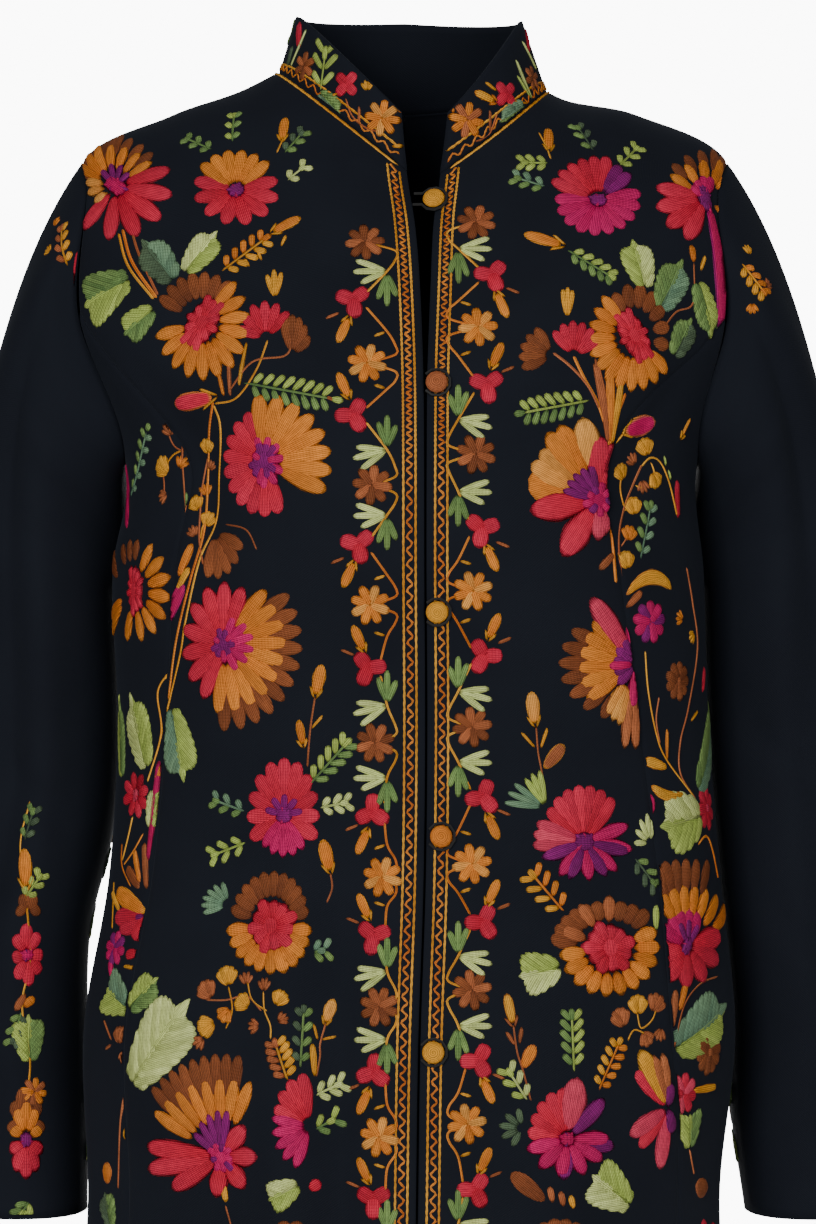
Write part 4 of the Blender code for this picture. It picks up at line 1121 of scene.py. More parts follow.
# Motifs of the wearer's right front, from the shoulder to the hem
frontRightMotifs = [
    (stem, "orange", 3.2, (122, 228), (132, 262), (157, 299)),
    (stem, "gold", 2.6, (118, 232), (128, 266), (154, 300)),
    (stem, "rust", 3.0, (130, 223), (138, 252), (158, 296)),
    (stem, "gold", 1.6, (276, 154), (284, 136)),
    (stem, "gold", 1.9, (268, 339), (256, 370), (236, 398), (213, 404)),
    (stem, "rust", 1.9, (292, 344), (284, 356), (252, 362), (228, 392)),
    (stem, "gold", 2.2, (213, 404), (220, 427), (219, 474), (216, 521), (199, 561), (185, 622),
     (178, 663), (150, 778)),
    (stem, "rust", 2.0, (208, 456), (202, 488), (200, 512), (199, 540), (203, 566)),
    (stem, "gold", 1.7, (206, 520), (202, 528), (200, 540)),
    (stem, "orange", 2.6, (213, 400), (209, 430), (208, 474), (204, 530), (190, 580), (176, 640),
     (168, 700)),
    (stem, "rust", 1.6, (224, 524), (246, 530), (257, 551)),
    (stem, "rust", 1.8, (315, 696), (310, 730), (307, 768)),
    (stem, "gold", 1.6, (263, 990), (264, 1010), (270, 1026), (270, 1040)),
    (stem, "gold", 1.6, (247, 980), (252, 1000), (268, 1012)),
    (stem, "rust", 1.6, (205, 1000), (226, 1000), (246, 996), (262, 1012)),
    (stem, "gold", 1.6, (225, 1030), (232, 1010), (228, 985)),
    (stem, "rust", 1.7, (316, 1078), (320, 1056), (320, 1044), (326, 1022)),
    (flower, 116, 186, ("magenta", 10, 20, 150),
     ("brown", 7, 0.45, 52, 54, 40, 165, 9),
     ("crimson", 9.5, 0.15, 58, 56, 235, 375, 6),
     ("orange", 6.5, 0.3, 46, 42, 35, 160, 7),
     ("apricot", 6, 0.35, 32, 26, 175, 225, 3),
     ("purple", 4, 0.1, 20, 24, 35, 140, 4)),
    (flower, 236, 190, ("purple", 10, 11, 20),
     ("crimson", 9, 0.1, 46, 38, 165, 375, 8),
     ("orange", 8, 0.15, 48, 42, 45, 140, 6)),
    (sprig, 213, 150, 183, 138, 3, 6, "green"),
    (sprig, 232, 143, 234, 112, 3, 6, "lime", "green"),
    (sprig, 283, 154, 305, 130, 3, 6.5, "moss", "green"),
    (sprig, 286, 181, 306, 165, 2, 6, "cream"),
    (bud, 282, 140, 285, 116, 7, "orange"),
    (leaf, 131, 278, 82, 312, 23, "lime", "green", 6),
    (leaf, 175, 282, 139, 238, 15, "moss", "sea", 5),
    (leaf, 184, 274, 219, 229, 14, "cream", "lime", 6),
    (leaf, 155, 308, 122, 338, 14, "green", "lime", 5),
    (flower, 202, 323, ("crimson", 19, 33, 62),
     ("brown", 6.5, 0.4, 52, 54, 55, 150, 7),
     ("orange", 7.5, 0.3, 50, 60, -165, 45, 12)),
    (sprig, 220, 272, 272, 234, 5, 8, "orange", "gold", 55),
    (bud, 272, 232, 302, 217, 7.5, "orange"),
    (stroke, 280, 248, 287, 233, 3.6, "gold"),
    (stroke, 262, 262, 257, 249, 3.6, "gold"),
    (stroke, 250, 268, 243, 257, 3.6, "gold"),
    (flower, 266, 338, None,
     ("crimson", 6.5, 0.1, 34, 40, 45, 165, 6)),
    (flower, 275, 299, None,
     ("gold", 3.6, 0.05, 16, 32, 65, 125, 3)),
    (flower, 292, 356, None,
     ("brown", 6, 0.1, 22, 44, 30, 110, 5)),
    (stroke, 247, 340, 238, 388, 4, "gold"),
    (stroke, 228, 343, 230, 398, 4, "rust"),
    (stroke, 216, 362, 224, 398, 4, "orange"),
    (sprig, 240, 382, 345, 402, 8, 9, "lime", "green", 55),
    (bud, 213, 397, 172, 405, 12.5, "crimson"),
    (flower, 264, 462, ("purple", 17, 24, 80),
     ("crimson", 9.5, 0.15, 44, 58, 115, 290, 10),
     ("orange", 9.5, 0.2, 70, 70, -25, 95, 8),
     ("magenta", 5, 0.1, 24, 30, -90, 110, 7)),
    (berry, 207, 447, 6.5, "gold"),
    (berry, 211, 466, 5, "rust", 60),
    (berry, 206, 490, 6, "orange", 100),
    (berry, 196, 504, 6.5, "gold", 120),
    (berry, 208, 520, 6.5, "gold", 70),
    (berry, 193, 532, 5.5, "rust", 120),
    (flower, 215, 532, None,
     ("brown", 7, 0.1, 32, 50, -105, -20, 5)),
    (stroke, 178, 578, 193, 542, 7, "orange"),
    (stroke, 176, 592, 190, 566, 5.5, "gold"),
    (stroke, 166, 624, 184, 582, 10, "magenta", 0, "purple"),
    (flower, 224, 644, ("purple", 15, 20, 75),
     ("brown", 7.5, 0.45, 82, 90, -90, 35, 11),
     ("orange", 8.5, 0.25, 66, 72, -95, 50, 10),
     ("crimson", 9.5, 0.1, 44, 64, 65, 240, 8),
     ("magenta", 5.5, 0.05, 34, 32, -65, 70, 6)),
    (bud, 315, 696, 322, 663, 9, "orange"),
    (bud, 303, 746, 298, 718, 6, "orange"),
    (stroke, 310, 730, 324, 714, 3, "gold"),
    (sprig, 308, 786, 352, 737, 5, 9, "lime", "green"),
    (flower, 284, 815, ("purple", 11, 12, 0),
     ("crimson", 9.5, 0.1, 40, 60, -25, 205, 11),
     ("magenta", 7, 0.1, 34, 44, -130, -55, 5),
     ("purple", 4.5, 0.1, 22, 24, 10, 165, 5)),
    (sprig, 246, 812, 211, 799, 3, 7, "green", "sea"),
    (sprig, 318, 808, 350, 802, 3, 7, "cream"),
    (sprig, 247, 842, 209, 857, 3, 8, "lime"),
    (leaf, 171, 706, 184, 785, 17, "lime", "sea", 7, 34),
    (bud, 330, 872, 322, 838, 9.5, "orange"),
    (stem, "rust", 1.7, (330, 872), (332, 888), (326, 904)),
    (flower, 272, 926, ("crimson", 29, 30, 90),
     ("brown", 7, 0.45, 46, 58, 15, 160, 11),
     ("orange", 8, 0.4, 48, 50, -175, -10, 11)),
    (flower, 229, 905, None,
     ("sea", 3.6, 0.15, 30, 26, 105, 200, 6)),
    (berry, 207, 991, 8, "rust", 130, 5),
    (berry, 227, 977, 8, "gold", 100, 5),
    (berry, 246, 979, 6, "rust", 90),
    (berry, 243, 1003, 7, "gold", 150, 5),
    (berry, 225, 1014, 6.5, "orange", 230),
    (berry, 207, 1026, 8, "gold", 200, 5),
    (berry, 199, 1042, 6, "rust", 220),
    (berry, 264, 985, 6, "rust", 90),
    (berry, 279, 999, 6.5, "gold", 60, 5),
    (berry, 282, 1019, 5, "rust", 30),
    (berry, 254, 1026, 6, "rust", 180),
    (sprig, 288, 1082, 272, 1037, 5, 8, "rust", "gold", 60),
    (sprig, 300, 1070, 304, 1003, 4, 7, "moss", "green"),
    (leaf, 131, 1086, 194, 996, 27, "cream", "cream", 8, 36),
    (leaf, 128, 1010, 160, 976, 14, "lime", "green", 5),
    (flower, 222, 1157, ("magenta", 15, 20, 120),
     ("brown", 7, 0.5, 98, 106, 80, 138, 9),
     ("orange", 7.5, 0.4, 84, 82, 70, 146, 8),
     ("crimson", 10, 0.1, 80, 42, 165, 230, 3),
     ("crimson", 10, 0.1, 36, 42, 260, 410, 4),
     ("purple", 5, 0.1, 34, 50, 80, 150, 5)),
    (stroke, 222, 1176, 226, 1204, 5, "gold"),
    (flower, 309, 1126, None,
     ("crimson", 9, 0.1, 42, 56, 100, 160, 4),
     ("magenta", 6.5, 0.1, 42, 46, 170, 250, 5)),
    (sprig, 312, 952, 327, 950, 2, 7, "sea", "green", 55),
    (bud, 325, 1024, 334, 997, 8.5, "apricot"),
    (stroke, 320, 1040, 338, 1036, 3, "gold"),
    (stroke, 318, 1042, 313, 1022, 3, "gold"),
    (stroke, 315, 1078, 312, 1042, 5, "gold"),
    (sprig, 314, 1096, 345, 1082, 3, 8, "cream"),
    (sprig, 314, 1130, 337, 1118, 2, 8, "lime", "green"),
    (leaf, 300, 1184, 262, 1202, 13, "lime", "cream", 5),
    (stroke, 308, 1190, 322, 1181, 9, "crimson"),
    (stem, "rust", 1.8, (225, 1204), (232, 1240), (222, 1290), (230, 1340)),
    (flower, 180, 1270, ("magenta", 14, 18, 90),
     ("orange", 8, 0.4, 50, 50, -200, 20, 12),
     ("crimson", 9, 0.1, 34, 34, 0, 330, 9)),
    (flower, 290, 1262, ("purple", 13, 16, 90),
     ("brown", 8, 0.4, 44, 44, -10, 190, 10),
     ("rose", 9, 0.1, 40, 40, 190, 350, 7),
     ("gold", 6, 0.2, 28, 28, 0, 180, 8)),
    (leaf, 236, 1322, 190, 1345, 18, "lime", "green"),
    (leaf, 240, 1312, 290, 1338, 18, "cream", "lime"),
]
# The narrow panel beside it, under the arm
sideRightMotifs = [
    (stem, "gold", 2.2, (178, 663), (158, 690), (161, 733), (147, 783)),
    (stem, "rust", 2.0, (186, 430), (182, 452), (184, 490), (186, 520), (182, 560)),
    (stem, "gold", 1.8, (163, 470), (172, 456), (182, 450)),
    (stem, "rust", 1.8, (168, 434), (174, 446), (183, 452)),
    (stem, "rust", 1.8, (163, 474), (164, 484), (164, 496)),
    (stem, "gold", 1.7, (133, 815), (128, 838), (122, 862)),
    (stem, "orange", 1.7, (144, 832), (134, 850), (123, 866)),
    (stem, "orange", 1.7, (122, 842), (122, 866), (131, 888)),
    (stem, "gold", 1.7, (114, 880), (113, 905), (112, 930)),
    (stem, "rust", 1.8, (125, 1050), (124, 1090), (120, 1125), (118, 1190)),
    (berry, 168, 430, 6, "rust", 120),
    (berry, 184, 426, 6, "gold", 70),
    (berry, 163, 468, 8.5, "gold", 140, 5),
    (berry, 181, 463, 6, "orange", 60),
    (berry, 163, 496, 6, "rust", 200),
    (stroke, 187, 541, 186, 490, 4, "green"),
    (sprig, 130, 499, 148, 421, 5, 7, "green", "sea"),
    (stroke, 127, 530, 125, 462, 9, "magenta"),
    (flower, 135, 590, ("crimson", 16, 28, 90),
     ("brown", 6, 0.5, 28, 54, 85, 150, 5),
     ("orange", 7.5, 0.35, 38, 54, -150, 62, 10)),
    (leaf, 122, 780, 119, 692, 11, "lime", "green", 7, 28),
    (leaf, 147, 770, 129, 690, 19, "cream", "lime", 7),
    (flower, 136, 795, ("rose", 6, 9, 90),
     ("crimson", 7, 0.1, 14, 26, 60, 420, 9)),
    (stroke, 154, 782, 166, 760, 5, "orange"),
    (leaf, 150, 830, 156, 784, 9, "cream", "lime", 5, 30),
    (stroke, 147, 864, 159, 758, 6, "magenta"),
    (stroke, 140, 884, 134, 848, 6, "orange", 0, "rust"),
    (stroke, 146, 890, 144, 841, 6.5, "rust", 0, "brown"),
    (stroke, 140, 889, 126, 866, 8.5, "brown", 0, "rust"),
    (stroke, 145, 912, 115, 891, 14, "orange", 0, "gold"),
    (stroke, 120, 912, 112, 890, 5, "gold"),
    (flower, 147, 918, None,
     ("crimson", 12, 0.05, 34, 24, 180, 240, 3)),
    (stroke, 144, 916, 134, 918, 5, "purple"),
    (daisy, 115, 948, 12, "magenta", 8, 80, None, 0.62, "purple"),
    (stroke, 138, 952, 124, 956, 8, "crimson"),
    (stroke, 135, 968, 122, 966, 4, "gold"),
    (stroke, 112, 980, 110, 958, 6, "magenta"),
    (leaf, 128, 1008, 105, 988, 20, "lime", "sea", 5),
    (berry, 119, 1036, 7, "rust", 90, 5),
    (stroke, 112, 1042, 103, 1018, 3, "rust"),
    (stroke, 112, 1044, 104, 1050, 3.5, "rust"),
    (berry, 122, 1056, 5, "rust", 270),
    (berry, 136, 1126, 5.5, "rust", 80),
    (berry, 136, 1166, 6, "gold", 260),
    (stroke, 124, 1140, 124, 1128, 3.5, "gold"),
    (stroke, 107, 1186, 107, 1160, 12, "orange", 0, "rust"),
    (flower, 98, 1270, ("crimson", 12, 16, 90),
     ("orange", 8, 0.3, 20, 42, 60, 420, 11)),
    (leaf, 112, 1230, 104, 1190, 12, "moss", "green", 5),
]
# The wearer's left front
frontLeftMotifs = [
    (stem, "gold", 1.6, (538, 131), (546, 146), (551, 160)),
    (stem, "orange", 3.0, (573, 355), (584, 378), (598, 404), (609, 440)),
    (stem, "rust", 2.6, (552, 352), (570, 366), (588, 386), (600, 410)),
    (stem, "orange", 3.0, (626, 392), (616, 420), (610, 446)),
    (stem, "orange", 3.2, (609, 436), (608, 470), (610, 510), (613, 548), (616, 584)),
    (stroke, 609, 446, 595, 360, 6.5, "rust"),
    (stroke, 609, 446, 610, 364, 7, "orange"),
    (stroke, 611, 446, 622, 378, 5.5, "gold"),
    (stem, "rust", 1.7, (536, 726), (538, 752), (541, 768), (546, 796)),
    (stem, "rust", 1.7, (513, 1024), (517, 1052), (523, 1071), (531, 1102)),
    (stem, "gold", 1.6, (627, 1042), (634, 1030), (646, 1034)),
    (stem, "gold", 1.6, (637, 1012), (641, 1028), (652, 1020), (657, 1006)),
    (sprig, 550, 163, 519, 163, 3, 7, "lime"),
    (sprig, 547, 187, 512, 177, 3, 7, "green", "sea"),
    (sprig, 594, 152, 575, 124, 3, 7, "green", "moss"),
    (sprig, 618, 167, 640, 146, 3, 7, "lime"),
    (bud, 549, 150, 548, 127, 7, "orange"),
    (flower, 598, 200, ("purple", 9, 12, 0),
     ("magenta", 8.5, 0.1, 46, 38, 180, 370, 10),
     ("crimson", 8.5, 0.15, 54, 46, 80, 155, 6),
     ("purple", 8, 0.2, 44, 42, 40, 58, 2)),
    (bud, 562, 245, 522, 234, 8.5, "orange"),
    (sprig, 566, 249, 617, 281, 5, 7.5, "lime", "green"),
    (flower, 704, 198, ("purple", 10, 20, 90),
     ("brown", 7, 0.45, 50, 50, -10, 135, 8),
     ("orange", 7.5, 0.3, 44, 40, -45, 145, 8),
     ("crimson", 10, 0.1, 50, 46, 170, 250, 4),
     ("magenta", 7, 0.1, 18, 24, 65, 150, 4)),
    (stroke, 708, 205, 718, 333, 10, "magenta", 1.5, "purple", 0.5),
    (stroke, 717, 326, 720, 356, 4, "green"),
    (leaf, 646, 290, 631, 237, 15, "lime", "cream", 6),
    (leaf, 659, 311, 684, 257, 15, "green", "sea", 6),
    (leaf, 697, 280, 711, 345, 13, "lime", "green", 6),
    (leaf, 673, 358, 692, 315, 12, "green", "moss", 5),
    (stem, "rust", 1.7, (662, 330), (676, 312), (693, 303), (694, 262)),
    (stroke, 694, 264, 691, 243, 5.5, "orange"),
    (stroke, 700, 272, 706, 254, 4.5, "gold"),
    (flower, 634, 336, ("crimson", 17, 33, 115),
     ("brown", 7, 0.45, 38, 56, -12, 125, 7),
     ("orange", 7.5, 0.35, 48, 58, 135, 315, 12)),
    (flower, 574, 356, None,
     ("crimson", 6.5, 0.1, 32, 38, 30, 135, 6)),
    (flower, 567, 319, None,
     ("gold", 3.6, 0.05, 14, 34, 65, 110, 3)),
    (flower, 552, 355, None,
     ("brown", 6, 0.1, 36, 34, 120, 205, 5)),
    (stroke, 595, 356, 600, 398, 4, "rust"),
    (stroke, 610, 364, 607, 400, 4.5, "orange"),
    (stroke, 622, 384, 616, 404, 3.5, "gold"),
    (sprig, 592, 400, 512, 415, 7, 8.5, "green", "lime", 58),
    (flower, 597, 500, ("magenta", 20, 19, 155),
     ("orange", 23, 0.25, 76, 76, 164, 164, 1),
     ("apricot", 14, 0.3, 78, 78, 140, 152, 2),
     ("orange", 13, 0.3, 86, 86, 117, 127, 2),
     ("apricot", 15, 0.35, 86, 86, 100, 100, 1),
     ("crimson", 14, 0.1, 70, 66, 190, 240, 2),
     ("crimson", 14, 0.1, 40, 66, 62, 86, 2),
     ("rose", 9, 0.1, 16, 42, 275, 300, 2),
     ("purple", 5.5, 0.1, 38, 38, 102, 165, 5)),
    (stroke, 615, 552, 598, 571, 6, "rust"),
    (flower, 634, 664, None,
     ("brown", 7, 0.45, 80, 62, 145, 245, 7),
     ("orange", 9, 0.25, 60, 62, 135, 215, 6),
     ("apricot", 7, 0.35, 46, 66, 232, 250, 3),
     ("rust", 6, 0.35, 80, 86, 263, 271, 2),
     ("rose", 11, 0.1, 80, 80, 123, 123, 1),
     ("purple", 7, 0.05, 24, 34, 125, 220, 5),
     ("magenta", 6, 0.05, 28, 46, 100, 265, 3)),
    (bud, 535, 725, 531, 690, 9.5, "apricot", "gold"),
    (stroke, 536, 749, 520, 731, 3.2, "gold"),
    (stroke, 540, 750, 548, 726, 3.6, "gold"),
    (stroke, 543, 770, 565, 743, 10, "rust", 0, "gold"),
    (flower, 546, 808, None,
     ("sea", 3.8, 0.1, 44, 40, 140, 172, 3),
     ("lime", 3.8, 0.1, 34, 40, 102, 130, 3)),
    (flower, 584, 842, ("purple", 12, 14, 0),
     ("crimson", 9.5, 0.1, 48, 60, 50, 145, 7),
     ("rose", 8, 0.1, 54, 50, 158, 185, 3),
     ("magenta", 7.5, 0.1, 50, 40, 240, 385, 5),
     ("purple", 7.5, 0.1, 48, 40, 205, 345, 4)),
    (sprig, 565, 913, 527, 869, 4, 9, "gold", "orange", 55),
    (flower, 650, 843, None,
     ("cream", 3.6, 0.1, 18, 32, 75, 180, 5)),
    (sprig, 634, 857, 657, 888, 3, 8, "green", "moss"),
    (flower, 656, 935, None,
     ("lime", 3.8, 0.1, 6, 32, 85, 100, 2)),
    (flower, 609, 948, ("crimson", 31, 28, 80),
     ("brown", 8, 0.5, 64, 50, 50, 170, 10),
     ("rust", 8, 0.45, 54, 54, 90, 160, 3),
     ("orange", 8.5, 0.45, 52, 50, 190, 380, 11)),
    (leaf, 562, 967, 516, 978, 18, "cream", "lime", 5, 48),
    (bud, 513, 1025, 506, 992, 7, "gold", "rust"),
    (stroke, 516, 1047, 505, 1030, 4, "rust"),
    (stroke, 519, 1046, 522, 1025, 4, "rust"),
    (stroke, 522, 1070, 535, 1043, 9, "orange", 0, "rust"),
    (sprig, 574, 1074, 571, 1007, 5, 9, "green", "lime"),
    (sprig, 528, 1102, 506, 1067, 3, 8, "lime", "cream"),
    (flower, 522, 1128, None,
     ("moss", 4, 0.1, 26, 22, 100, 245, 5)),
    (sprig, 598, 1092, 622, 1036, 5, 7, "gold", "orange", 62),
    (berry, 621, 1019, 8, "rust", 110, 5),
    (berry, 638, 1006, 8, "gold", 90, 5),
    (berry, 656, 1004, 8, "rust", 60),
    (berry, 646, 1038, 6.5, "rust", 300),
    (berry, 660, 1034, 6, "rust", 250),
    (flower, 567, 1139, ("magenta", 9, 10, 0),
     ("crimson", 9.5, 0.1, 44, 54, 97, 172, 5),
     ("rose", 15, 0.1, 60, 64, 80, 80, 1),
     ("purple", 9, 0.1, 56, 56, 46, 46, 1),
     ("purple", 9, 0.1, 50, 42, 266, 349, 2),
     ("magenta", 8, 0.1, 44, 40, 196, 360, 6)),
    (flower, 668, 1108, None,
     ("crimson", 9, 0.05, 50, 52, 133, 233, 2),
     ("rose", 10, 0.05, 44, 64, 206, 259, 2),
     ("gold", 11, 0.05, 64, 66, 117, 117, 1),
     ("rust", 7, 0.1, 56, 56, 96, 106, 2),
     ("purple", 8, 0.0, 14, 28, 87, 284, 2)),
    (stroke, 546, 1202, 509, 1172, 12, "brown", 0, "rust"),
    (stroke, 553, 1204, 549, 1185, 5, "rust"),
    (stroke, 564, 1208, 560, 1190, 5, "rust"),
    (stroke, 574, 1210, 570, 1194, 5, "gold"),
    (leaf, 632, 1206, 590, 1174, 20, "cream", "lime", 6),
    (flower, 560, 1262, ("magenta", 14, 18, 90),
     ("brown", 8, 0.45, 46, 46, -10, 190, 12),
     ("orange", 8, 0.35, 38, 38, 0, 180, 9),
     ("crimson", 9, 0.1, 42, 42, 190, 350, 7)),
    (flower, 645, 1280, ("purple", 10, 14, 90),
     ("rose", 8, 0.1, 30, 34, 60, 420, 9)),
    (leaf, 600, 1322, 560, 1348, 18, "lime", "green"),
    (leaf, 606, 1318, 650, 1345, 16, "green", "moss"),
]
sideLeftMotifs = [
    (stem, "rust", 2.4, (620, 566), (619, 535), (624, 508), (633, 484), (642, 464)),
    (stem, "gold", 1.9, (640, 468), (650, 458), (660, 462), (669, 483), (677, 517)),
    (stem, "gold", 1.7, (622, 512), (628, 508), (633, 503)),
    (stem, "gold", 1.7, (634, 484), (640, 488), (643, 484)),
    (stem, "gold", 1.7, (650, 461), (653, 468), (655, 477)),
    (stem, "rust", 1.7, (620, 548), (624, 542), (628, 536)),
    (stem, "gold", 1.7, (624, 508), (620, 490), (621, 476)),
    (stem, "rust", 2.6, (622, 640), (624, 612), (621, 584), (620, 562)),
    (stem, "gold", 1.7, (612, 446), (624, 432), (628, 404)),
    (stem, "rust", 1.7, (686, 566), (692, 602), (697, 648), (688, 708), (680, 742), (680, 773),
     (696, 800)),
    (stem, "gold", 1.8, (645, 650), (648, 690), (656, 733), (666, 759), (694, 797)),
    (stem, "rust", 1.6, (659, 696), (656, 720), (660, 745)),
    (stroke, 667, 762, 667, 727, 4.5, "orange"),
    (stem, "orange", 2.4, (697, 846), (706, 836), (712, 850), (718, 880)),
    (stem, "rust", 1.7, (719, 976), (700, 984), (684, 1006), (674, 1048)),
    (stem, "rust", 1.8, (689, 1148), (694, 1176)),
    (bud, 624, 432, 657, 420, 15, "magenta", "gold"),
    (bud, 681, 438, 691, 417, 4.5, "orange"),
    (berry, 645, 448, 7.5, "gold", 110, 5),
    (berry, 632, 460, 6, "rust", 130),
    (berry, 621, 473, 7, "gold", 120, 5),
    (berry, 643, 486, 6, "rust", 280),
    (berry, 655, 479, 7, "gold", 300, 5),
    (berry, 633, 507, 7.5, "gold", 100, 5),
    (berry, 629, 534, 6.5, "orange", 80),
    (berry, 626, 561, 7.5, "gold", 100, 5),
    (stroke, 666, 468, 664, 454, 3.4, "lime"),
    (stroke, 671, 482, 668, 468, 3.4, "lime"),
    (stroke, 678, 520, 677, 478, 7, "crimson"),
    (sprig, 640, 561, 652, 499, 4, 7.5, "green", "sea"),
    (stroke, 625, 596, 674, 589, 11, "gold", 9, "rust"),
    (stroke, 626, 608, 643, 590, 6, "rust"),
    (daisy, 650, 622, 14, "magenta", 9, 90, None, 0.6, "purple"),
    (daisy, 678, 681, 13, "brown", 9, 80, "rust"),
    (berry, 680, 618, 6, "orange", 160),
    (berry, 692, 636, 6, "gold", 220),
    (stroke, 702, 694, 704, 665, 7, "crimson"),
    (stroke, 690, 722, 698, 710, 4, "gold"),
    (leaf, 697, 792, 706, 700, 17, "green", "sea", 8, 28),
    (stroke, 668, 768, 643, 760, 8, "gold", 0, "orange"),
    (stroke, 685, 793, 650, 786, 8, "gold", 4, "orange"),
    (stroke, 653, 814, 651, 794, 5, "magenta"),
    (daisy, 706, 808, 15, "crimson", 7, 80, "rose"),
    (leaf, 702, 815, 656, 829, 26, "lime", "cream", 5, 48),
    (flower, 686, 946, ("purple", 8, 14, 60),
     ("brown", 8, 0.55, 90, 90, 75, 112, 6),
     ("orange", 8.5, 0.4, 50, 64, 35, 122, 7),
     ("magenta", 10, 0.1, 28, 40, 62, 150, 5),
     ("crimson", 12, 0.1, 36, 44, 200, 373, 6),
     ("purple", 5, 0.1, 18, 30, 50, 120, 3)),
    (stroke, 672, 1030, 676, 988, 6, "rust"),
    (stroke, 679, 1012, 687, 978, 6, "orange"),
    (leaf, 674, 1049, 729, 1002, 24, "sea", "lime", 7),
    (daisy, 709, 1052, 15, "brown", 10, 80, "rust"),
    (daisy, 683, 1094, 14, "crimson", 8, 80, None, 0.62, "rose"),
    (stroke, 692, 1091, 717, 1086, 6, "gold", 0, "orange"),
    (leaf, 690, 1150, 690, 1112, 17, "lime", "green", 5),
    (stroke, 700, 1200, 703, 1176, 20, "brown", 0, "rust"),
    (flower, 706, 1250, ("purple", 10, 14, 90),
     ("crimson", 8, 0.1, 18, 34, 60, 420, 10)),
    (leaf, 698, 1325, 706, 1285, 15, "green", "moss"),
]

# Two lines of stitches along each front's edge with a wave between them
border = {"lines": (5.0, 12.0), "middle": 8.5, "wave": 1.6, "period": 7.5, "low": 6, "high": 866,
          "gap": 2.3, "waveGap": 1.5, "width": 2.5, "pulse": 0.3}


def addBorder(hoop, side):
    for gap, offsets, thread in ((border["gap"], border["lines"], "gold"),
                                 (border["waveGap"], (border["middle"],), "orange")):
        ups = np.arange(border["low"], border["high"], gap)
        values = readTable(bodyRings, ups)
        for offset in offsets:
            aside = offset
            if offset == border["middle"]:
                aside = offset + border["wave"] * np.sin(2 * math.pi * ups / border["period"])
            turns = side * np.degrees((values[11] + aside) / values[0])
            strand(hoop, turns, ups, border["width"], thread, border["pulse"])


# The vine beside each closing: where its stem runs, then its flowers as x, y and colour
vines = {
    -1: {"base": 387, "bulge": 395, "flowers": [
        (365, 242, "brown"), (353, 300, "crimson"), (367, 363, "orange"), (353, 415, "crimson"),
        (372, 485, "brown"), (358, 545, "crimson"), (370, 605, "orange"), (368, 668, "crimson"),
        (375, 743, "brown"), (372, 812, "crimson"), (382, 877, "orange"), (373, 936, "crimson"),
        (379, 1007, "brown"), (373, 1072, "crimson"), (379, 1137, "orange"),
        (373, 1200, "crimson"), (379, 1268, "brown"), (372, 1330, "crimson"),
        (376, 1385, "orange")]},
    1: {"base": 458, "bulge": 449, "flowers": [
        (476, 222, "brown"), (492, 275, "crimson"), (478, 327, "orange"), (487, 385, "crimson"),
        (476, 454, "brown"), (482, 529, "crimson"), (473, 591, "orange"), (484, 656, "crimson"),
        (472, 727, "brown"), (483, 797, "crimson"), (472, 864, "orange"), (483, 922, "crimson"),
        (472, 990, "brown"), (478, 1061, "crimson"), (467, 1124, "orange"),
        (475, 1190, "crimson"), (468, 1258, "brown"), (476, 1322, "crimson"),
        (468, 1380, "orange")]},
}
vineSizes = {"daisy": 12.9, "trefoil": 12.2, "lobe": 3.7, "stem": 2.2, "bud": 7, "tendril": 3.4,
             "pale": (33, 36, 28), "green": (30, 37, 27)}


def addVine(hoop, side):
    # Flowers on a wavy stem, with sprigs and buds between them
    base, bulge = vines[side]["base"], vines[side]["bulge"]
    flowers = vines[side]["flowers"]

    def joint(x, y, kind, down):
        if kind == "crimson":
            return [(x - side * 12, y + 6 * down)]
        return [(x - side * 8, y + 2 * down), (bulge - side, y + 9 * down),
                (bulge, y + 18 * down)]
    for (x, y, kind), (nextX, nextY, nextKind) in zip(flowers, flowers[1:]):
        middle = (y + nextY) / 2
        line = joint(x, y, kind, 1) + [(base, middle)] + joint(nextX, nextY, nextKind, -1)[::-1]
        stem(hoop, "gold" if "brown" in (kind, nextKind) else "orange", vineSizes["stem"], *line)
        if "brown" in (kind, nextKind):
            lobeWidth = vineSizes["lobe"] * stitch["wide"]
            rise = -11 if kind == "brown" else -3
            down = 1 if kind == "brown" else -1
            for i, reach in enumerate(vineSizes["pale"]):
                stroke(hoop, base, middle, base + side * reach, middle + rise + 12 * i,
                       lobeWidth, "cream")
            for i, reach in enumerate(vineSizes["green"]):
                stroke(hoop, base, middle + 2 * down, base + side * (10 - 10 * i),
                       middle + down * reach, lobeWidth, "green")
        else:
            atX, atY, down = (x, y, 1) if kind == "crimson" else (nextX, nextY, -1)
            bud(hoop, atX + side * 4, atY + 17 * down, atX + side * 16, atY + 44 * down,
                vineSizes["bud"], "orange")
            stroke(hoop, atX + side * 12, atY + 12 * down, atX + side * 29, atY + 19 * down,
                   vineSizes["tendril"], "rust")
            stroke(hoop, base, middle, base + side * 15, middle + 5 * down,
                   vineSizes["tendril"], "gold")
    for x, y, kind in flowers:
        angle = chance.random() * 90
        if kind == "crimson":
            daisy(hoop, x, y, vineSizes["trefoil"], "crimson", 3, angle, None, 0.9)
        else:
            other = "rust" if kind == "brown" else "apricot"
            daisy(hoop, x, y, vineSizes["daisy"], kind, 8, angle, None, 0.52, other)


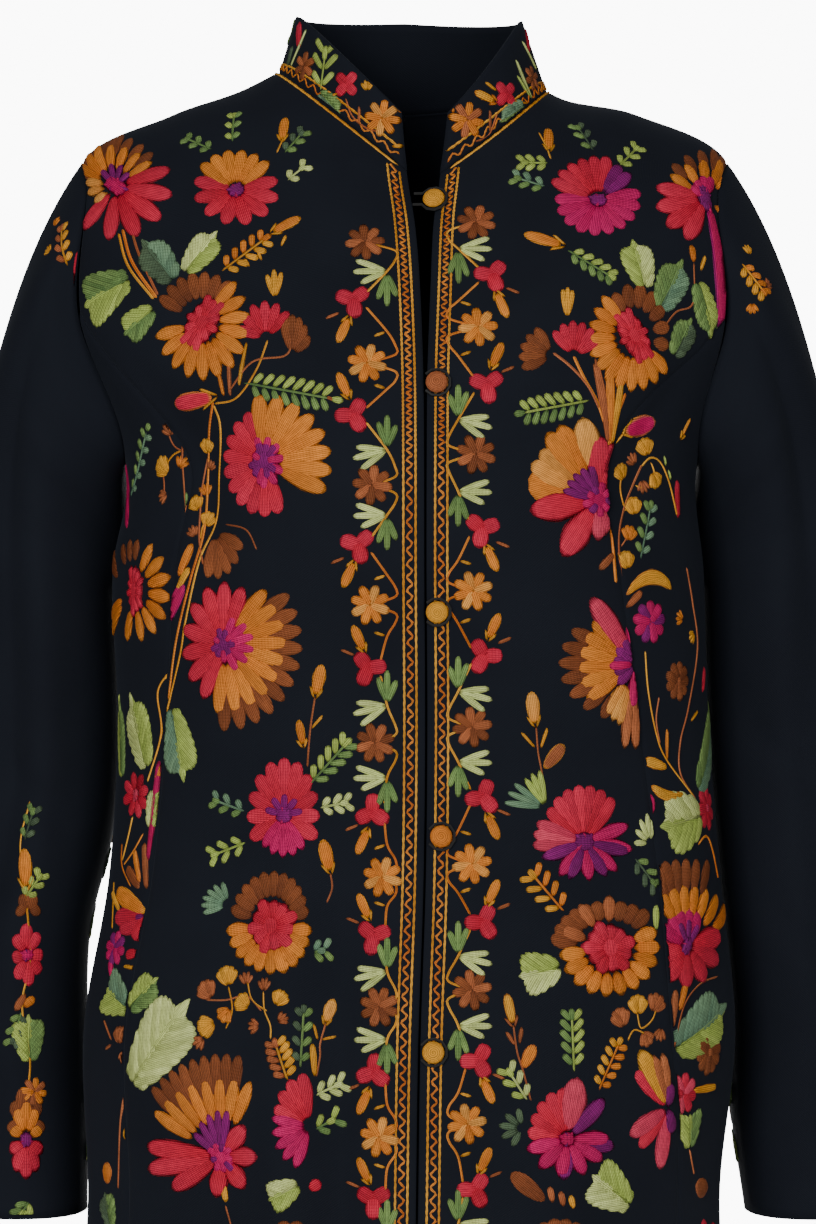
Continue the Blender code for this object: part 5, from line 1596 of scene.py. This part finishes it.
collarMotifs = [
    (stroke, 299, 50, 299, 20, 8, "crimson"),
    (stroke, 287, 68, 293, 44, 5, "moss"),
    (stroke, 290, 68, 307, 28, 3.4, "cream"),
    (daisy, 304, 66, 10, "brown", 6, 80, None, 0.55, "rust"),
    (sprig, 320, 92, 326, 44, 3, 11, "lime"),
    (stem, "gold", 1.8, (300, 84), (312, 96), (336, 94), (352, 88)),
    (daisy, 346, 84, 10, "crimson", 4, 45, None, 0.8),
    (berry, 367, 86, 5, "gold"),
    (leaf, 318, 92, 342, 116, 9, "green", "sea", 5),
    (stem, "rust", 1.7, (345, 97), (352, 116), (366, 128), (380, 132)),
    (stroke, 359, 126, 359, 104, 3.4, "rust"),
    (daisy, 382, 118, 12, "orange", 8, 80, None, 0.5, "apricot"),
    (stroke, 402, 112, 399, 104, 3, "orange"),
    (stroke, 390, 146, 404, 146, 4, "gold"),
    (daisy, 467, 120, 12, "orange", 8, 80, None, 0.5, "rust"),
    (stem, "rust", 1.7, (474, 142), (488, 136), (495, 120), (498, 110)),
    (stroke, 490, 134, 490, 108, 3.4, "rust"),
    (daisy, 506, 94, 10, "crimson", 4, 45, None, 0.8),
    (bud, 496, 102, 473, 91, 6, "gold", "orange"),
    (stroke, 498, 92, 484, 81, 3.6, "gold"),
    (leaf, 525, 104, 497, 124, 9, "green", "sea", 5),
    (stem, "gold", 1.8, (508, 100), (520, 102), (530, 104)),
    (stroke, 533, 102, 515, 58, 4.4, "cream"),
    (stroke, 532, 100, 516, 74, 4, "lime"),
    (daisy, 532, 78, 9, "brown", 6, 80, None, 0.55, "rust"),
    (stroke, 537, 72, 521, 40, 3.4, "cream"),
    (stroke, 528, 55, 525, 28, 6, "crimson"),
    (stroke, 453, 114, 453, 106, 3, "orange"),
]
# Lines round the collar: thread, width, height at the closing and at the side, and if it waves
collarLines = {"first": 10.0, "side": 78.0, "gap": 1.4, "wave": 5.0, "period": 5.6, "rows": [
    ("gold", 2.6, 30, 13, False), ("orange", 2.0, 12, 6, True)]}
neckLine = {"low": 3.5, "high": 2.2, "gap": 2.2, "width": 2.6}


def addNeckLine(hoop, side, first, last):
    # The lower line runs on the body, just under the collar's seam
    turns = np.arange(first, last, neckLine["gap"])
    share = np.clip(turns / collarLines["side"], 0, 1)
    drop = neckLine["low"] + (neckLine["high"] - neckLine["low"]) * share
    strand(hoop, side * turns, neckUp - drop, neckLine["width"], "gold", border["pulse"])


def addCollarLines(hoop):
    first, side = collarLines["first"], collarLines["side"]
    for thread, width, front, back, wavy in collarLines["rows"]:
        turns = np.arange(first, 360 - first, collarLines["gap"] / (2 if wavy else 1))
        fromFront = np.minimum(turns, 360 - turns)
        heights = front + (back - front) * np.clip((fromFront - first) / (side - first), 0, 1)
        if wavy:
            heights = heights + collarLines["wave"] * np.sin(2 * math.pi * turns
                                                             / collarLines["period"])
        strand(hoop, turns, heights, width, thread, border["pulse"])


# Bouquets that the photo doesn't show, in millimetres round a place on the cloth. Reaches and
# widths are shares of a bouquet's size, turns are from the way it faces
bouquets = {"leafTurns": (-125, 125, -60, 60), "leafFrom": 0.7, "leafEnd": 1.9, "leafWidth": 0.5,
            "stemEnd": 1.9, "stemSway": 5, "stemWidth": 2.2, "heart": (0.35, 0.45),
            "berryTurns": (-35, 35), "berryAt": 1.5, "berrySize": 0.24,
            "leaves": ("lime", "cream", "green", "moss")}


def bouquet(hoop, place, flowerThreads, size, angle=90):
    hoop["about"] = place
    outer, inner, heart = flowerThreads
    for turn, thread in zip(bouquets["leafTurns"], bouquets["leaves"]):
        way = wayOf(angle + turn) * (1, -1)
        leaf(hoop, *way * (size * bouquets["leafFrom"]), *way * (size * bouquets["leafEnd"]),
             size * bouquets["leafWidth"], thread, "green")
    c, s = wayOf(angle)
    far = size * bouquets["stemEnd"]
    stem(hoop, "gold", bouquets["stemWidth"], (0, 0), (-size * c, size * s),
         (-far * c + bouquets["stemSway"], far * s))
    heartWidth, heartLength = (size * share for share in bouquets["heart"])
    flower(hoop, 0, 0, (heart, heartWidth, heartLength, angle),
           (outer, size * 0.28, 0.45, size, size, angle - 80, angle + 80, 8),
           ("orange", size * 0.28, 0.35, size * 0.8, size * 0.8, angle - 90, angle + 90, 8),
           (inner, size * 0.32, 0.1, size * 0.75, size * 0.75, angle + 100, angle + 260, 6))
    for turn in bouquets["berryTurns"]:
        way = wayOf(angle + turn) * (1, -1)
        berry(hoop, *way * (size * bouquets["berryAt"]), size * bouquets["berrySize"], "gold",
              angle + turn)


# Covered buttons, in millimetres: z of each, and how far beyond the closing it sits
buttons = {"places": [(-74, 6.0), (-181, 6.5), (-313, 6.5), (-442, 9.0), (-565, 8.0), (-689, 7.5)],
           "threads": ("gold", "rust", "gold", "orange", "gold", "rust"), "radius": 6.4,
           "height": 5.2, "seat": 0.3, "rim": 0.35, "sides": 40, "rings": 20, "halvings": 40,
           "spiral": 0.8, "stitchRun": 3.5}


def buttonSeat(z, beyond):
    low, high = 0.0, float(neckUp)
    for _ in range(buttons["halvings"]):
        middle = (low + high) / 2
        below = bodyPoint(np.zeros(1), np.array([middle]))[0, 2] < z
        low, high = (middle, high) if below else (low, middle)
    ups = np.array([low])
    turns = np.degrees(beyond / readTable(bodyRings, ups)[0])
    normal = bodyNormal(turns, ups)
    east, north = compass(normal)
    turned = Matrix(np.stack([east[0], north[0], normal[0]], axis=1).tolist()).to_4x4()
    return Matrix.Translation(Vector(bodyPoint(turns, ups)[0] * mm)) @ turned


def addButton(number, z, beyond, threadName):
    # A dome with a spiral of chain stitch; the spiral is kept by face corner, without a seam
    work = bmesh.new()
    bmesh.ops.create_uvsphere(work, u_segments=buttons["sides"], v_segments=buttons["rings"],
                              radius=buttons["radius"])
    place = work.loops.layers.float_vector.new("thread")
    colour = work.loops.layers.float_color.new("threadColour")
    tone = sum(np.array(end) for end in threads[threadName]) / 2
    for face in work.faces:
        centre = face.calc_center_median()
        middle = math.atan2(centre.y, centre.x)
        for loop in face.loops:
            x, y, z0 = loop.vert.co
            angle = math.atan2(y, x) if math.hypot(x, y) > 0.01 else middle
            angle += 2 * math.pi * round((middle - angle) / (2 * math.pi))
            arc = buttons["radius"] * math.acos(max(-1, min(1, z0 / buttons["radius"])))
            row = yarn["rowWidth"] * angle / (2 * math.pi)
            loop[place] = (arc * buttons["spiral"] + row, angle * buttons["stitchRun"], number)
            loop[colour] = (*tone, 1)
    rim = buttons["rim"] * buttons["height"]
    for vert in work.verts:
        share = buttons["height"] - rim if vert.co.z > 0 else rim
        vert.co.z = buttons["seat"] + rim + vert.co.z / buttons["radius"] * share
    bmesh.ops.scale(work, vec=(mm, mm, mm), verts=work.verts)
    bmesh.ops.transform(work, matrix=buttonSeat(z, beyond), verts=work.verts)
    piece = meshObject("embroidered_button_" + str(number), work, yarnMaterial)
    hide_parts("button_" + str(number))
    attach(piece, "root")


addCamera()
woolMaterial = woolCloth()
yarnMaterial = threadYarn()
addStudio()
print("studio ready")
body, collarCloth = cloths["body"], cloths["collar"]
arms = {1: cloths["leftArm"], -1: cloths["rightArm"]}
words = {1: "left", -1: "right"}

for side, motifs in ((1, frontLeftMotifs), (-1, frontRightMotifs)):
    hoop = newHoop(body)
    stitchAll(hoop, motifs)
    addVine(hoop, side)
    addBorder(hoop, side)
    addNeckLine(hoop, side, 10, 90)
    layOn("stitches_front_" + words[side], hoop,
                         [(closingEdge(side), -side), (edgeOf(side, "frontArm"), side)])
for side, motifs in ((1, sideLeftMotifs), (-1, sideRightMotifs)):
    hoop = newHoop(body)
    stitchAll(hoop, motifs)
    layOn("stitches_side_" + words[side], hoop,
                        [(edgeOf(side, "princess"), -side), (edgeOf(side, "sideArm"), side)])
print("fronts stitched")

# Small flowers with a sprig each round the back of the collar: turn and thread
collarBack = {"flowers": ((108, "crimson"), (135, "orange"), (160, "brown"), (200, "crimson"),
                          (225, "orange"), (252, "brown")), "height": 62, "size": 10}
collarHoop = newHoop(collarCloth)
stitchAll(collarHoop, collarMotifs)
addCollarLines(collarHoop)
for turn, thread in collarBack["flowers"]:
    collarHoop["about"] = (turn, collarBack["height"])
    daisy(collarHoop, 0, 0, collarBack["size"], thread, 8, 80, None, 0.52)
    sprig(collarHoop, 14, 6, 17, -10, 2, 7, "lime", "green")
collarStitches = layOn("stitches_collar", collarHoop, [], 2.0)
print("collar stitched")

# The guessed bouquets on the back: turn and height of each, its size and the way it faces
backBouquets = [((132, 90), 38, 90), ((172, 120), 34, 80), ((128, 215), 36, 100),
                ((170, 260), 40, 90), ((134, 350), 34, 80), ((171, 400), 38, 100),
                ((132, 480), 34, 90), ((168, 535), 38, 85), ((140, 610), 34, 100),
                ((166, 690), 36, 90), ((136, 735), 28, 90), ((160, 790), 22, 90)]
palettes = [("brown", "crimson", "magenta"), ("apricot", "crimson", "purple"),
            ("brown", "rose", "crimson"), ("rust", "magenta", "purple")]
for side in (1, -1):
    hoop = newHoop(body, (0, 0))
    for i, ((turn, up), size, angle) in enumerate(backBouquets):
        bouquet(hoop, (side * turn, up), palettes[(i + (side > 0)) % 4], size,
                180 - angle if side < 0 else angle)
    addNeckLine(hoop, side, 90, 180)
    layOn("stitches_back_" + words[side], hoop,
                        [(edgeOf(side, "backArm"), -side), (uprightEdge(180 * side), side)])
print("back stitched")

armMotifs = {
    -1: [(sprig, 68, 268, 46, 226, 4, 7, "rust", "gold"), (stroke, 80, 290, 82, 246, 7, "crimson"),
         (berry, 56, 222, 5, "orange"), (berry, 48, 250, 5, "gold", 160),
         (bud, 26, 888, 24, 846, 10, "orange"),
         (flower, 28, 915, None, ("brown", 7, 0.1, 14, 26, 20, 160, 4)),
         (flower, 27, 955, ("magenta", 8, 10, 0), ("crimson", 8, 0.1, 18, 34, 0, 324, 8)),
         (stroke, 22, 1008, 36, 996, 7, "orange"),
         (stem, "gold", 2.0, (30, 800), (20, 845), (26, 900), (30, 960), (22, 1005), (30, 1062),
          (24, 1110)),
         (sprig, 24, 842, 36, 806, 3, 7, "green", "moss"),
         (sprig, 24, 900, 42, 872, 3, 6.5, "lime"),
         (stroke, 26, 992, 14, 1012, 6, "rust"),
         (sprig, 22, 1010, 10, 1046, 3, 7, "moss", "green"),
         (daisy, 34, 1092, 10, "orange", 8, 80, None, 0.52, "rust"),
         (sprig, 30, 1200, 18, 1236, 3, 8, "lime", "green"),
         (leaf, 30, 1064, 28, 1012, 15, "lime", "green"),
         (flower, 26, 1140, ("purple", 8, 10, 90),
          ("brown", 7, 0.4, 20, 56, 20, 160, 6),
          ("orange", 7, 0.2, 18, 42, 20, 160, 5),
          ("crimson", 8, 0.1, 18, 40, 200, 340, 5))],
    1: [(sprig, 741, 262, 766, 298, 4, 7, "orange", "gold"), (berry, 748, 250, 5, "gold"),
        (berry, 752, 308, 5, "orange", 270), (berry, 768, 284, 5, "rust", 20)]}
armBouquets = [((300, 90), 24, 90), ((245, 160), 26, 80), ((320, 220), 26, 100),
               ((250, 290), 26, 90), ((310, 360), 26, 85), ((240, 430), 26, 95),
               ((300, 500), 26, 90), ((230, 570), 24, 90), ((10, 575), 22, 90)]
for side in (1, -1):
    hoop = newHoop(arms[side])
    stitchAll(hoop, armMotifs[side])
    for i, (place, size, angle) in enumerate(armBouquets):
        bouquet(hoop, place, palettes[(i + (side > 0)) % 4], size, angle)
    layOn("stitches_sleeve_" + words[side], hoop, [], 3.0)
print("sleeves stitched")
for number, ((z, beyond), threadName) in enumerate(zip(buttons["places"], buttons["threads"]), 1):
    addButton(number, z, beyond, threadName)

for side, word in words.items():
    finishCloth("jacket_front_" + word, frontPanel(side), "front_" + word)
    finishCloth("jacket_side_" + word, sidePanel(side), "side_front_" + word)
    finishCloth("jacket_back_" + word, backHalf(side), "back_" + word)
    finishCloth("jacket_sleeve_" + word, sleevePanel(side), "sleeve_" + word)
finishCloth("jacket_collar", collarPanel(), "collar")
